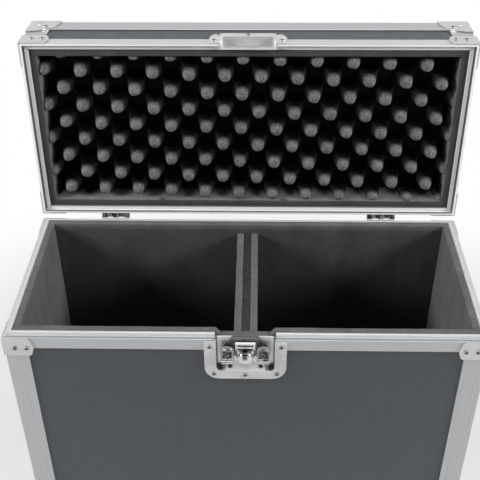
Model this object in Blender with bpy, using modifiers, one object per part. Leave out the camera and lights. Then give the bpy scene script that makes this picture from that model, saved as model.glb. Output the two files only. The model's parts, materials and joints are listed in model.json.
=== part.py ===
"""Lighting flight case: plywood body and hinged lid in aluminium edging, with a butterfly latch.

Metres, +Z up, +X to the right and -Y to the front, where the latch is. The origin is on the
ground under the middle of the case. The lid stands open on its hinge stops.
"""

import math

import bmesh
import bpy
from mathutils import Matrix, Vector

# Overall sizes of the case, over its aluminium edging
CASE_WIDTH = 0.620
CASE_DEPTH = 0.266
BODY_HEIGHT = 0.330
LID_HEIGHT = 0.090
FOOT_HEIGHT = 0.015
LID_OPEN_ANGLE = math.radians(93.5)

# Clearance between neighbours, and how far a cutter runs past what it cuts
GAP = 0.0003
OVERRUN = 0.002

# Panels and the plain aluminium angles
PLYWOOD = 0.007
SKIN = 0.0015
ANGLE_LEG = 0.030
ANGLE_ROUNDING = 0.0012
ANGLE_EDGE = 0.0004

# Edge rails where body and lid meet
RAIL_INNER_WALL = 0.0012
RAIL_WEB = 0.0015
RAIL_LEG = 0.0175
RAIL_INNER_LEG = 0.010
TONGUE_WIDTH = 0.0040
TONGUE_HEIGHT = 0.0048
TONGUE_ROUNDING = 0.0014
RAIL_ROUNDING = 0.0006
LIP_WIDTH = 0.0036
LIP_GAP = 0.0004
LIP_DEPTH = 0.0052
GROOVE_WIDTH = 0.0016
GROOVE_DEPTH = 0.0012
LID_RAIL_LEG = 0.0195
LID_RAIL_INNER_LEG = 0.0165
RAIL_WELD = 0.00003

# Corner braces over the rails
BRACE_THICKNESS = 0.0012
BRACE_LEG = 0.0388
BRACE_HEIGHT = 0.0289
BRACE_DROP = 0.0005
BRACE_EDGE = 0.0003
BRACE_TAPER = 0.0045
BRACE_CORNER = 0.0035
BRACE_TIP_ROUNDING = 0.0120
BRACE_TIP_SHARE = 0.46

# Ball corners
BALL_RADIUS = 0.0150
BALL_INSET = 0.0100
BALL_PLATE_RADIUS = 0.0420
BALL_PLATE_THICKNESS = 0.0012

# Feet
FOOT_RADIUS = 0.0190
FOOT_TAPER = 0.0020
FOOT_ROUNDING = 0.0020
FOOT_SCREW_RADIUS = 0.0060
FOOT_SCREW_DEPTH = 0.0070
FOOT_FROM_SIDE = 0.0600
FOOT_FROM_FRONT = 0.0540

# Foam and divider
FOAM = 0.0092
FOAM_DROP = 0.0005
LATCH_FOAM_DROP = 0.0066
DIVIDER_BOARD = 0.0100
DIVIDER_FOAM = 0.0100
DIVIDER_DROP = 0.0160
EGG_PITCH_X = 0.0506
EGG_PITCH_Y = 0.0530
EGG_PEAK_X = -0.0100
EGG_PEAK_Y = -0.0012
EGG_TURN = math.radians(2.1)
LID_FOAM_DROP = 0.0015
EGG_PEAK_DROP = 0.0080
EGG_RELIEF = 0.0400
EGG_FOOT_SHARE = 0.35
EGG_CROWN_SHARE = 0.95

# Butterfly latch, lower half, with depths measured outwards from the case's front face
DISH_SHEET = 0.0012
DISH_WIDTH = 0.1060
DISH_TOP_DROP = 0.0024
DISH_BOTTOM_DROP = 0.0676
DISH_CORNER = 0.0190
RECESS_WIDTH = 0.0754
RECESS_BOTTOM_DROP = 0.0540
RECESS_DEPTH = 0.0080
RECESS_CORNER = 0.0060
CARRIER_TOP_WIDTH = 0.0280
CARRIER_TOP_DROP = 0.0180
CARRIER_EAR_WIDTH = 0.0540
CARRIER_EAR_DROP = 0.0440
CARRIER_FOOT_WIDTH = 0.0480
CARRIER_FOOT_DROP = 0.0530
CARRIER_ROUNDING = 0.0040
BRIDGE_TOP_WIDTH = 0.0330
BRIDGE_TOP_DROP = 0.0012
BRIDGE_FOOT_WIDTH = 0.0500
BRIDGE_SHOULDER_DROP = 0.0130
BRIDGE_FOOT_DROP = 0.0168
BRIDGE_RISE = 0.0035
HUB_DROP = 0.0255
HUB_SHAFT_RADIUS = 0.0046
HUB_CAM_RADIUS = 0.0080
HUB_CAM_THICKNESS = 0.0020
HUB_END_COVER = 0.0004
HUB_KNOB_RADIUS = 0.0130
HUB_KNOB_DEPTH = 0.0058
HUB_KNOB_SHOULDER = 0.0028
HUB_KNOB_FACE_RADIUS = 0.0090
WING_SPAN = 0.0640
WING_INNER_SPAN = 0.0292
WING_TOP_RISE = 0.0215
WING_THICKNESS = 0.0024
WING_CLEARANCE = 0.0020
WING_OUTER_CORNER = 0.0080
WING_INNER_CORNER = 0.0030
WING_HOLLOW_DEPTH = 0.0012
WING_HOLLOW_MARGIN = 0.0030
WING_AXLE_DROP = 0.0080
WING_AXLE_RADIUS = 0.0010
WING_LUG_RADIUS = 0.0023
WING_LUG_START = 0.0136
WING_LUG_END = 0.0200
HOOK_WIDTH = 0.0260
HOOK_TOP_DROP = 0.0050
HOOK_BOTTOM_DROP = 0.0200
HOOK_SHEET = 0.0020
HOOK_CLEARANCE = 0.0006
HOOK_CORNER = 0.0025
HOOK_LIP = 0.0018
HOOK_LIP_HEIGHT = 0.0024
HOOK_SLOT_WIDTH = 0.0184
HOOK_SLOT_HEIGHT = 0.0024
HOOK_SLOT_DROP = 0.0099
HOOK_SLOT_PITCH = 0.0070

# Butterfly latch, upper half in the lid
KEEPER_FLANGE_RISE = 0.0020
KEEPER_TOP_RISE = 0.0400
KEEPER_RECESS_RISE = 0.0270
KEEPER_BAR_RISE = 0.0100
KEEPER_BAR_HEIGHT = 0.0035
KEEPER_BAR_WIDTH = 0.0300
KEEPER_BAR_DEPTH = 0.0024

# Hinges
HINGE_WIDTH = 0.0420
HINGE_FROM_SIDE = 0.1093
HINGE_SHEET = 0.0015
HINGE_LEAF = 0.0240
HINGE_AXIS_OUT = 0.0048
HINGE_AXIS_RISE = 0.0042
HINGE_BARREL_RADIUS = 0.0036
HINGE_PIN_RADIUS = 0.0016
HINGE_PIN_CLEARANCE = 0.0002
HINGE_KNUCKLES = 5

# Side handles
HANDLE_PLATE_WIDTH = 0.1360
HANDLE_PLATE_HEIGHT = 0.0460
HANDLE_PLATE_SHEET = 0.0020
HANDLE_PLATE_CORNER = 0.0080
HANDLE_ABOVE_FLOOR = 0.2100
HANDLE_LUG_LENGTH = 0.0130
HANDLE_LUG_RADIUS = 0.0080
HANDLE_LUG_SPACING = 0.1140
HANDLE_AXIS_OUT = 0.0100
HANDLE_ROD_RADIUS = 0.0040
HANDLE_ROD_CLEARANCE = 0.0003
HANDLE_BEND = 0.0090
HANDLE_ARM_SPACING = 0.0800
HANDLE_DROP = 0.0560
HANDLE_GRIP_RADIUS = 0.0085
HANDLE_GRIP_LENGTH = 0.0600

# Counts that set how round the turned and rounded pieces are
ROUND_SIDES = 28
SMALL_SIDES = 16
ARC_STEPS = 5
EGG_STEPS_PER_PITCH = 6

# Places worked out from the sizes above
HALF_WIDTH = CASE_WIDTH / 2
HALF_DEPTH = CASE_DEPTH / 2
BASE_Z = FOOT_HEIGHT
LEDGE_Z = BASE_Z + BODY_HEIGHT
TOP_Z = LEDGE_Z + LID_HEIGHT
PANEL_OUT = SKIN + GAP
PANEL_IN = PANEL_OUT + PLYWOOD
RAIL_WIDTH = PANEL_IN + GAP + RAIL_INNER_WALL
FOAM_OUT = RAIL_WIDTH + GAP
FOAM_IN = FOAM_OUT + FOAM
FLOOR_TOP_Z = BASE_Z + PANEL_OUT + PLYWOOD
RAIL_END_X = RECESS_WIDTH / 2 + DISH_SHEET + GAP
FLANGE_FRONT = GAP + DISH_SHEET
RECESS_BACK = FLANGE_FRONT - RECESS_DEPTH
JOINT_RISE = LIP_GAP
WING_AXLE_OUT = FLANGE_FRONT + WING_CLEARANCE + WING_THICKNESS / 2
HINGE_CENTRE = HALF_WIDTH - HINGE_FROM_SIDE
HINGE_AXIS = Vector((0, HALF_DEPTH + HINGE_AXIS_OUT, LEDGE_Z + HINGE_AXIS_RISE))

UP = Vector((0, 0, 1))
FORWARD = Vector((0, -1, 0))

for old in list(bpy.data.objects):
    bpy.data.objects.remove(old, do_unlink=True)

parts = bpy.data.collections.new("lighting_flight_case")
cutters = bpy.data.collections.new("cutters")
bpy.context.scene.collection.children.link(parts)
bpy.context.scene.collection.children.link(cutters)


def material(name, colour, roughness, metallic):
    made = bpy.data.materials.new(name)
    made.use_nodes = True
    shader = made.node_tree.nodes["Principled BSDF"]
    shader.inputs["Base Color"].default_value = (*colour, 1)
    shader.inputs["Roughness"].default_value = roughness
    shader.inputs["Metallic"].default_value = metallic
    made.diffuse_color = (*colour, 1)
    return made


LAMINATE = ((0.080, 0.086, 0.094), 0.55, 0)
ALUMINIUM = ((0.62, 0.63, 0.64), 0.35, 1)
BRIGHT_STEEL = ((0.72, 0.72, 0.73), 0.22, 1)
CHROME = ((0.80, 0.80, 0.81), 0.10, 1)
GREY_FOAM = ((0.115, 0.113, 0.106), 0.95, 0)
BLACK_RUBBER = ((0.020, 0.020, 0.021), 0.70, 0)
BOARD = ((0.045, 0.046, 0.049), 0.60, 0)


def frame_matrix(origin, x_axis, y_axis):
    """The placement whose local X and Y run along the given directions."""
    x_axis = Vector(x_axis).normalized()
    y_axis = Vector(y_axis).normalized()
    turned = Matrix((x_axis, y_axis, x_axis.cross(y_axis))).transposed()
    return Matrix.Translation(origin) @ turned.to_4x4()


def add(name, mesh, placement, look=None, smooth=None):
    """A named object from a mesh: a part where it has a look, and otherwise a cutter."""
    piece = bpy.data.objects.new(name, mesh)
    piece.matrix_world = placement
    if look is None:
        cutters.objects.link(piece)
        piece.hide_render = True
        piece.display_type = "WIRE"
    else:
        parts.objects.link(piece)
        mesh.materials.append(material(name, *look))
    if smooth is not None:
        mesh.shade_smooth()
        mesh.set_sharp_from_angle(angle=smooth)
    return piece


SMOOTH = math.radians(35)


def box(name, low, high, look=None):
    low, high = Vector(low), Vector(high)
    mesh = bpy.data.meshes.new(name)
    shape = bmesh.new()
    bmesh.ops.create_cube(shape, size=1)
    for vert in shape.verts:
        vert.co = Vector(side * span for side, span in zip(vert.co, high - low))
    shape.to_mesh(mesh)
    shape.free()
    return add(name, mesh, Matrix.Translation((low + high) / 2), look)


def cylinder(name, start, end, radius, look=None, sides=ROUND_SIDES):
    start, end = Vector(start), Vector(end)
    mesh = bpy.data.meshes.new(name)
    shape = bmesh.new()
    bmesh.ops.create_cone(
        shape,
        cap_ends=True,
        segments=sides,
        radius1=radius,
        radius2=radius,
        depth=(end - start).length,
    )
    shape.to_mesh(mesh)
    shape.free()
    aim = UP.rotation_difference(end - start).to_matrix().to_4x4()
    placement = Matrix.Translation((start + end) / 2) @ aim
    return add(name, mesh, placement, look, SMOOTH)


def ball(name, centre, radius, look=None):
    mesh = bpy.data.meshes.new(name)
    shape = bmesh.new()
    bmesh.ops.create_uvsphere(shape, u_segments=20, v_segments=12, radius=radius)
    shape.to_mesh(mesh)
    shape.free()
    return add(name, mesh, Matrix.Translation(centre), look, SMOOTH)


def solid_of(drawn):
    """The mesh that a drawn curve makes, with its caps welded on."""
    graph = bpy.context.evaluated_depsgraph_get()
    mesh = bpy.data.meshes.new_from_object(drawn.evaluated_get(graph))
    shape = bmesh.new()
    shape.from_mesh(mesh)
    bmesh.ops.remove_doubles(shape, verts=shape.verts, dist=GAP / 300)
    bmesh.ops.recalc_face_normals(shape, faces=shape.faces)
    shape.to_mesh(mesh)
    shape.free()
    bpy.data.objects.remove(drawn, do_unlink=True)
    return mesh


def curve_object(name, points, closed):
    curve = bpy.data.curves.new(name, "CURVE")
    spline = curve.splines.new("POLY")
    spline.points.add(len(points) - 1)
    for slot, point in zip(spline.points, points):
        slot.co = (*point, 0, 1) if len(point) == 2 else (*point, 1)
    spline.use_cyclic_u = closed
    made = bpy.data.objects.new(name, curve)
    bpy.context.scene.collection.objects.link(made)
    return made


def plate(name, outline, thickness, placement, look=None, smooth=SMOOTH):
    """A flat outline, thickened evenly to both sides of its plane."""
    made = curve_object(name, outline, True)
    made.data.dimensions = "2D"
    made.data.fill_mode = "BOTH"
    made.data.extrude = thickness / 2
    mesh = solid_of(made)
    mesh.name = name
    return add(name, mesh, placement, look, smooth)


def rod(name, route, radius, placement, look=None):
    made = curve_object(name, route, False)
    made.data.dimensions = "3D"
    made.data.bevel_depth = radius
    made.data.bevel_resolution = 2
    made.data.use_fill_caps = True
    mesh = solid_of(made)
    mesh.name = name
    return add(name, mesh, placement, look, SMOOTH)


def turned(name, profile, placement, look=None, sides=ROUND_SIDES):
    """A profile of (radius, height) points, from the top to the bottom, turned about Z."""
    mesh = bpy.data.meshes.new(name)
    shape = bmesh.new()
    verts = [shape.verts.new((radius, 0, height)) for radius, height in profile]
    for first, second in zip(verts, verts[1:]):
        shape.edges.new((first, second))
    shape.to_mesh(mesh)
    shape.free()
    made = add(name, mesh, placement, look)
    screw = made.modifiers.new("Turn", "SCREW")
    screw.steps = sides
    screw.render_steps = sides
    screw.use_merge_vertices = True
    screw.merge_threshold = GAP / 300
    screw.use_smooth_shade = True
    return made


def arc(centre, radius, start, end, steps=ARC_STEPS):
    """Points on an arc, between angles in degrees."""
    angles = [math.radians(start + (end - start) * i / steps) for i in range(steps + 1)]
    return [
        (centre[0] + radius * math.cos(a), centre[1] + radius * math.sin(a))
        for a in angles
    ]


def rounded(points, radii, steps=ARC_STEPS):
    """An outline whose corners are rounded, each by its radius."""
    outline = []
    for i, (point, radius) in enumerate(zip(points, radii)):
        here = Vector(point)
        if not radius:
            outline.append(tuple(here))
            continue
        back = (Vector(points[i - 1]) - here).normalized()
        on = (Vector(points[(i + 1) % len(points)]) - here).normalized()
        half = back.angle(on) / 2
        reach = radius / math.tan(half)
        middle = here + (back + on).normalized() * radius / math.sin(half)
        first = here + back * reach - middle
        last = here + on * reach - middle
        bow = first.angle(last)
        for k in range(steps + 1):
            share = k / steps
            spoke = (
                first * math.sin((1 - share) * bow) + last * math.sin(share * bow)
            ) / math.sin(bow)
            outline.append(tuple(middle + spoke))
    return outline


def combine(target, other, operation):
    step = target.modifiers.new(other.name, "BOOLEAN")
    step.operation = operation
    step.solver = "EXACT"
    step.object = other
    return target


def cut(target, *others):
    for other in others:
        combine(target, other, "DIFFERENCE")
    return target


def join(target, *others):
    for other in others:
        combine(target, other, "UNION")
    return target


def soften(target, width, segments=1, angle=40):
    edge = target.modifiers.new("Edges", "BEVEL")
    edge.width = width
    edge.segments = segments
    edge.limit_method = "ANGLE"
    edge.angle_limit = math.radians(angle)
    return target


def rail(name, profile, face, start, end, mitres, look=ALUMINIUM):
    """A straight length of an edge profile.

    The profile is in (distance in from the outer face, height) and the face is the middle of
    the outer face's line and the direction in. A mitred end is drawn back by the distance in.
    """
    origin, inward = face
    made = curve_object(name, profile, True)
    made.data.dimensions = "2D"
    made.data.fill_mode = "BOTH"
    made.data.extrude = (end - start) / 2
    mesh = solid_of(made)
    mesh.name = name
    middle = (start + end) / 2
    for vert in mesh.vertices:
        forward = vert.co.z > 0
        if mitres[1 if forward else 0]:
            vert.co.z += -vert.co.x if forward else vert.co.x
        vert.co.z += middle
    return add(name, mesh, frame_matrix(origin, inward, UP), look, SMOOTH)


def faces_at(height):
    """The four outer faces at a height, each with its direction in."""
    return {
        "front": (Vector((0, -HALF_DEPTH, height)), Vector((0, 1, 0))),
        "rear": (Vector((0, HALF_DEPTH, height)), Vector((0, -1, 0))),
        "left": (Vector((-HALF_WIDTH, 0, height)), Vector((1, 0, 0))),
        "right": (Vector((HALF_WIDTH, 0, height)), Vector((-1, 0, 0))),
    }


CORNERS = {
    "front_left": (-1, -1),
    "front_right": (1, -1),
    "rear_left": (-1, 1),
    "rear_right": (1, 1),
}


# Body panels
panel_top = LEDGE_Z - RAIL_WEB - GAP
panel_bottom = BASE_Z + PANEL_OUT
front_panel = box(
    "body_front_panel",
    (-HALF_WIDTH + PANEL_OUT, -HALF_DEPTH + PANEL_OUT, panel_bottom),
    (HALF_WIDTH - PANEL_OUT, -HALF_DEPTH + PANEL_IN, panel_top),
    LAMINATE,
)
cut(
    front_panel,
    box(
        "front_panel_latch_notch",
        (-RAIL_END_X, -HALF_DEPTH, LEDGE_Z - RECESS_BOTTOM_DROP - DISH_SHEET - GAP),
        (RAIL_END_X, -HALF_DEPTH + PANEL_IN + OVERRUN, LEDGE_Z + OVERRUN),
    ),
)
box(
    "body_rear_panel",
    (-HALF_WIDTH + PANEL_OUT, HALF_DEPTH - PANEL_IN, panel_bottom),
    (HALF_WIDTH - PANEL_OUT, HALF_DEPTH - PANEL_OUT, panel_top),
    LAMINATE,
)
for side, name in ((-1, "left"), (1, "right")):
    x_faces = sorted((side * (HALF_WIDTH - PANEL_OUT), side * (HALF_WIDTH - PANEL_IN)))
    box(
        f"body_{name}_panel",
        (x_faces[0], -HALF_DEPTH + PANEL_IN + GAP, panel_bottom),
        (x_faces[1], HALF_DEPTH - PANEL_IN - GAP, panel_top),
        LAMINATE,
    )
box(
    "body_floor_panel",
    (-HALF_WIDTH + PANEL_IN + GAP, -HALF_DEPTH + PANEL_IN + GAP, panel_bottom),
    (HALF_WIDTH - PANEL_IN - GAP, HALF_DEPTH - PANEL_IN - GAP, FLOOR_TOP_Z),
    LAMINATE,
)

# Upright corner angles
angle_low = BASE_Z + ANGLE_LEG + GAP
angle_high = LEDGE_Z - RAIL_LEG - GAP
angle_outline = rounded(
    [
        (0, 0),
        (ANGLE_LEG, 0),
        (ANGLE_LEG, SKIN),
        (SKIN, SKIN),
        (SKIN, ANGLE_LEG),
        (0, ANGLE_LEG),
    ],
    [ANGLE_ROUNDING, 0, 0, 0, 0, 0],
    3,
)
for corner, (sx, sy) in CORNERS.items():
    plate(
        f"body_corner_angle_{corner}",
        [(sx * (x - HALF_WIDTH) * -1, sy * (y - HALF_DEPTH) * -1) for x, y in angle_outline],
        angle_high - angle_low,
        Matrix.Translation((0, 0, (angle_low + angle_high) / 2)),
        ALUMINIUM,
    )


def angle_frame(name, low_z, high_z, floor_z, window_z):
    """Angles round one end of the case, joined at the corners, as one hollow frame.

    floor_z is the closed end, and window_z the height where the side legs stop.
    """
    frame = box(
        name,
        (-HALF_WIDTH, -HALF_DEPTH, low_z),
        (HALF_WIDTH, HALF_DEPTH, high_z),
        ALUMINIUM,
    )
    upward = floor_z == high_z
    inner_low = low_z - OVERRUN if upward else low_z + SKIN
    inner_high = high_z - SKIN if upward else high_z + OVERRUN
    cut(
        frame,
        box(
            name + "_inside",
            (-HALF_WIDTH + SKIN, -HALF_DEPTH + SKIN, inner_low),
            (HALF_WIDTH - SKIN, HALF_DEPTH - SKIN, inner_high),
        ),
        box(
            name + "_opening",
            (-HALF_WIDTH + ANGLE_LEG, -HALF_DEPTH + ANGLE_LEG, low_z - OVERRUN),
            (HALF_WIDTH - ANGLE_LEG, HALF_DEPTH - ANGLE_LEG, high_z + OVERRUN),
        ),
    )
    if window_z is not None:
        cut(
            frame,
            box(
                name + "_long_window",
                (-HALF_WIDTH + ANGLE_LEG, -HALF_DEPTH - OVERRUN, low_z - OVERRUN),
                (HALF_WIDTH - ANGLE_LEG, HALF_DEPTH + OVERRUN, window_z),
            ),
            box(
                name + "_short_window",
                (-HALF_WIDTH - OVERRUN, -HALF_DEPTH + ANGLE_LEG, low_z - OVERRUN),
                (HALF_WIDTH + OVERRUN, HALF_DEPTH - ANGLE_LEG, window_z),
            ),
        )
    return frame


soften(
    angle_frame("body_base_frame", BASE_Z, BASE_Z + ANGLE_LEG, BASE_Z, None),
    ANGLE_EDGE,
)

# Body rails with their tongue
body_profile = rounded(
    [
        (0, -RAIL_LEG),
        (0, 0),
        (RAIL_WIDTH - TONGUE_WIDTH, 0),
        (RAIL_WIDTH - TONGUE_WIDTH, TONGUE_HEIGHT),
        (RAIL_WIDTH, TONGUE_HEIGHT),
        (RAIL_WIDTH, -RAIL_INNER_LEG),
        (RAIL_WIDTH - RAIL_INNER_WALL, -RAIL_INNER_LEG),
        (RAIL_WIDTH - RAIL_INNER_WALL, -RAIL_WEB),
        (SKIN, -RAIL_WEB),
        (SKIN, -RAIL_LEG),
    ],
    [0, RAIL_ROUNDING, 0, TONGUE_ROUNDING, TONGUE_ROUNDING, 0, 0, 0, 0, 0],
    2,
)
body_faces = faces_at(LEDGE_Z)
mitre_gap = GAP / 2
rail(
    "body_rim_front_left",
    body_profile,
    body_faces["front"],
    -HALF_WIDTH + mitre_gap,
    -RAIL_END_X,
    (True, False),
)
rail(
    "body_rim_front_right",
    body_profile,
    body_faces["front"],
    RAIL_END_X,
    HALF_WIDTH - mitre_gap,
    (False, True),
)
rail(
    "body_rim_rear",
    body_profile,
    body_faces["rear"],
    -HALF_WIDTH + mitre_gap,
    HALF_WIDTH - mitre_gap,
    (True, True),
)
for name in ("left", "right"):
    rail(
        f"body_rim_{name}",
        body_profile,
        body_faces[name],
        -HALF_DEPTH + mitre_gap,
        HALF_DEPTH - mitre_gap,
        (True, True),
    )


def brace(name, sx, sy, low_z, high_z):
    """A bent plate round one corner, its two legs ending in blunt rounded tips."""
    height = high_z - low_z
    out = GAP + BRACE_THICKNESS
    reach = BRACE_LEG + out
    outline = rounded(
        [
            (0, 0),
            (reach - BRACE_TAPER, 0),
            (reach, height * BRACE_TIP_SHARE),
            (reach - BRACE_TAPER, height),
            (0, height),
        ],
        [0, BRACE_CORNER, BRACE_TIP_ROUNDING, BRACE_CORNER, 0],
        4,
    )
    middle = out - BRACE_THICKNESS / 2
    corner = Vector((sx * (HALF_WIDTH + out), sy * (HALF_DEPTH + out), low_z))
    along_x = plate(
        name,
        outline,
        BRACE_THICKNESS,
        frame_matrix(
            (corner.x, sy * (HALF_DEPTH + middle), low_z), (-sx, 0, 0), UP
        ),
        BRIGHT_STEEL,
    )
    along_y = plate(
        name + "_return",
        outline,
        BRACE_THICKNESS,
        frame_matrix(
            (sx * (HALF_WIDTH + middle), corner.y, low_z), (0, -sy, 0), UP
        ),
    )
    join(along_x, along_y)
    return soften(along_x, BRACE_EDGE)


body_brace_high = LEDGE_Z - BRACE_DROP
for corner, (sx, sy) in CORNERS.items():
    brace(
        f"body_rim_brace_{corner}",
        sx,
        sy,
        body_brace_high - BRACE_HEIGHT,
        body_brace_high,
    )


def ball_corner(name, sx, sy, sz, end_z):
    """A pressed corner: a ball over the corner point and a plate round it on each face."""
    point = Vector((sx * HALF_WIDTH, sy * HALF_DEPTH, end_z))
    outward = Vector((sx, sy, sz))
    shell_out = GAP + BALL_PLATE_THICKNESS
    size = Vector((BALL_PLATE_RADIUS,) * 3)

    def corner_block(label, out, look=None):
        near = point + outward * out
        far = point - Vector(a * b for a, b in zip(outward, size)) * 2
        return box(
            label,
            [min(a, b) for a, b in zip(near, far)],
            [max(a, b) for a, b in zip(near, far)],
            look,
        )

    made = corner_block(name, shell_out, BRIGHT_STEEL)
    combine(made, ball(name + "_plates", point, BALL_PLATE_RADIUS), "INTERSECT")
    join(made, ball(name + "_ball", point - outward * BALL_INSET, BALL_RADIUS))
    cut(made, corner_block(name + "_seat", GAP))
    return made


for corner, (sx, sy) in CORNERS.items():
    ball_corner(f"body_ball_corner_{corner}", sx, sy, -1, BASE_Z)

# Rubber feet
foot_top = panel_bottom - GAP
for corner, (sx, sy) in CORNERS.items():
    turned(
        f"rubber_foot_{corner}",
        [
            (0, foot_top),
            (FOOT_RADIUS, foot_top),
            (FOOT_RADIUS - FOOT_TAPER, FOOT_ROUNDING),
            (FOOT_RADIUS - FOOT_TAPER - FOOT_ROUNDING, 0),
            (FOOT_SCREW_RADIUS, 0),
            (FOOT_SCREW_RADIUS, FOOT_SCREW_DEPTH),
            (0, FOOT_SCREW_DEPTH),
        ],
        Matrix.Translation(
            (sx * (HALF_WIDTH - FOOT_FROM_SIDE), sy * (HALF_DEPTH - FOOT_FROM_FRONT), 0)
        ),
        BLACK_RUBBER,
    )

# Foam lining and divider
foam_top = LEDGE_Z + TONGUE_HEIGHT - FOAM_DROP
foam_floor_low = FLOOR_TOP_Z + GAP
foam_floor_high = foam_floor_low + FOAM
board_half = DIVIDER_BOARD / 2
divider_half = board_half + GAP + DIVIDER_FOAM
lining = box(
    "body_foam_lining",
    (-HALF_WIDTH + FOAM_OUT, -HALF_DEPTH + FOAM_OUT, foam_floor_low),
    (HALF_WIDTH - FOAM_OUT, HALF_DEPTH - FOAM_OUT, foam_top),
    GREY_FOAM,
)
cut(
    lining,
    box(
        "lining_inside",
        (-HALF_WIDTH + FOAM_IN, -HALF_DEPTH + FOAM_IN, foam_floor_high),
        (HALF_WIDTH - FOAM_IN, HALF_DEPTH - FOAM_IN, foam_top + OVERRUN),
    ),
    box(
        "lining_latch_dip",
        (-RECESS_WIDTH / 2, -HALF_DEPTH, foam_top - LATCH_FOAM_DROP),
        (RECESS_WIDTH / 2, -HALF_DEPTH + FOAM_IN + OVERRUN, foam_top + OVERRUN),
    ),
    box(
        "lining_divider_slot",
        (-divider_half - GAP, -HALF_DEPTH + FOAM_IN, foam_floor_low - OVERRUN),
        (divider_half + GAP, HALF_DEPTH - FOAM_IN, foam_floor_high + OVERRUN),
    ),
)
divider_low = foam_floor_low
divider_high = LEDGE_Z + TONGUE_HEIGHT - DIVIDER_DROP
divider_y = HALF_DEPTH - FOAM_IN - GAP
box(
    "divider_board",
    (-board_half, -divider_y, divider_low),
    (board_half, divider_y, divider_high),
    BOARD,
)
for side, name in ((-1, "left"), (1, "right")):
    near = side * (board_half + GAP)
    far = near + side * DIVIDER_FOAM
    box(
        f"divider_foam_{name}",
        (min(near, far), -divider_y, divider_low),
        (max(near, far), divider_y, divider_high),
        GREY_FOAM,
    )


# Butterfly latch on the body
FRONT_FRAME = frame_matrix((0, -HALF_DEPTH, LEDGE_Z), (1, 0, 0), UP)


def front_plate(name, outline, back, front, look=None, smooth=SMOOTH):
    """A plate of the latch: an outline of (x, rise over the ledge), between two depths."""
    placement = FRONT_FRAME @ Matrix.Translation((0, 0, (back + front) / 2))
    return plate(name, outline, front - back, placement, look, smooth)


def mirrored(half):
    """An outline from its right half, listed from the bottom up."""
    return half + [(-x, y) for x, y in reversed(half)]


def dish(name, flange, tub, opening, look):
    """A pressed tray: a flange on the face, and a tub let into it."""
    made = front_plate(name, flange, GAP, FLANGE_FRONT, look)
    join(
        made,
        front_plate(
            name + "_tub", tub, RECESS_BACK - DISH_SHEET, FLANGE_FRONT - DISH_SHEET / 3
        ),
    )
    cut(made, front_plate(name + "_recess", opening, RECESS_BACK, FLANGE_FRONT + OVERRUN))
    return made


flange_half = DISH_WIDTH / 2
recess_half = RECESS_WIDTH / 2
tub_half = recess_half + DISH_SHEET
latch_dish = dish(
    "latch_dish",
    rounded(
        mirrored([(flange_half, -DISH_BOTTOM_DROP), (flange_half, -DISH_TOP_DROP)]),
        [DISH_CORNER, RAIL_ROUNDING, RAIL_ROUNDING, DISH_CORNER],
    ),
    rounded(
        mirrored([(tub_half, -RECESS_BOTTOM_DROP - DISH_SHEET), (tub_half, 0)]),
        [RECESS_CORNER + DISH_SHEET, 0, 0, RECESS_CORNER + DISH_SHEET],
        3,
    ),
    rounded(
        mirrored([(recess_half, -RECESS_BOTTOM_DROP), (recess_half, OVERRUN)]),
        [RECESS_CORNER, 0, 0, RECESS_CORNER],
        3,
    ),
    CHROME,
)
carrier_front = RECESS_BACK + DISH_SHEET
bridge_front = RECESS_BACK + BRIDGE_RISE
embed = DISH_SHEET / 3
join(
    latch_dish,
    front_plate(
        "latch_carrier",
        rounded(
            mirrored(
                [
                    (CARRIER_FOOT_WIDTH / 2, -CARRIER_FOOT_DROP),
                    (CARRIER_EAR_WIDTH / 2, -CARRIER_EAR_DROP),
                    (CARRIER_TOP_WIDTH / 2, -CARRIER_TOP_DROP),
                ]
            ),
            [CARRIER_ROUNDING] * 6,
            3,
        ),
        RECESS_BACK - embed,
        carrier_front,
    ),
    front_plate(
        "latch_bridge",
        mirrored(
            [
                (BRIDGE_FOOT_WIDTH / 2, -BRIDGE_FOOT_DROP),
                (BRIDGE_FOOT_WIDTH / 2, -BRIDGE_SHOULDER_DROP),
                (BRIDGE_TOP_WIDTH / 2, -BRIDGE_TOP_DROP),
            ]
        ),
        RECESS_BACK - embed,
        bridge_front,
    ),
)


def in_front(x, rise, out):
    return FRONT_FRAME @ Vector((x, rise, out))


cut(
    latch_dish,
    cylinder(
        "latch_shaft_hole",
        in_front(0, -HUB_DROP, RECESS_BACK - DISH_SHEET - OVERRUN),
        in_front(0, -HUB_DROP, carrier_front + OVERRUN),
        HUB_SHAFT_RADIUS + GAP,
        sides=SMALL_SIDES,
    ),
)
hook_back = bridge_front + HOOK_CLEARANCE
hook_front = hook_back + HOOK_SHEET
cam_back = carrier_front + GAP
cam_front = cam_back + HUB_CAM_THICKNESS
knob_back = WING_AXLE_OUT - HUB_KNOB_DEPTH / 2
knob_front = WING_AXLE_OUT + HUB_KNOB_DEPTH / 2
latch_hub = turned(
    "latch_hub",
    [
        (0, knob_front),
        (HUB_KNOB_FACE_RADIUS, knob_front),
        (HUB_KNOB_RADIUS, knob_front - HUB_KNOB_SHOULDER / 2),
        (HUB_KNOB_RADIUS, knob_back),
        (HUB_SHAFT_RADIUS, knob_back),
        (HUB_SHAFT_RADIUS, cam_front),
        (HUB_CAM_RADIUS, cam_front),
        (HUB_CAM_RADIUS, cam_back),
        (HUB_SHAFT_RADIUS, cam_back),
        (HUB_SHAFT_RADIUS, RECESS_BACK - DISH_SHEET + HUB_END_COVER),
        (0, RECESS_BACK - DISH_SHEET + HUB_END_COVER),
    ],
    FRONT_FRAME @ Matrix.Translation((0, -HUB_DROP, 0)),
    CHROME,
)
axle_drop = HUB_DROP + WING_AXLE_DROP
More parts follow.
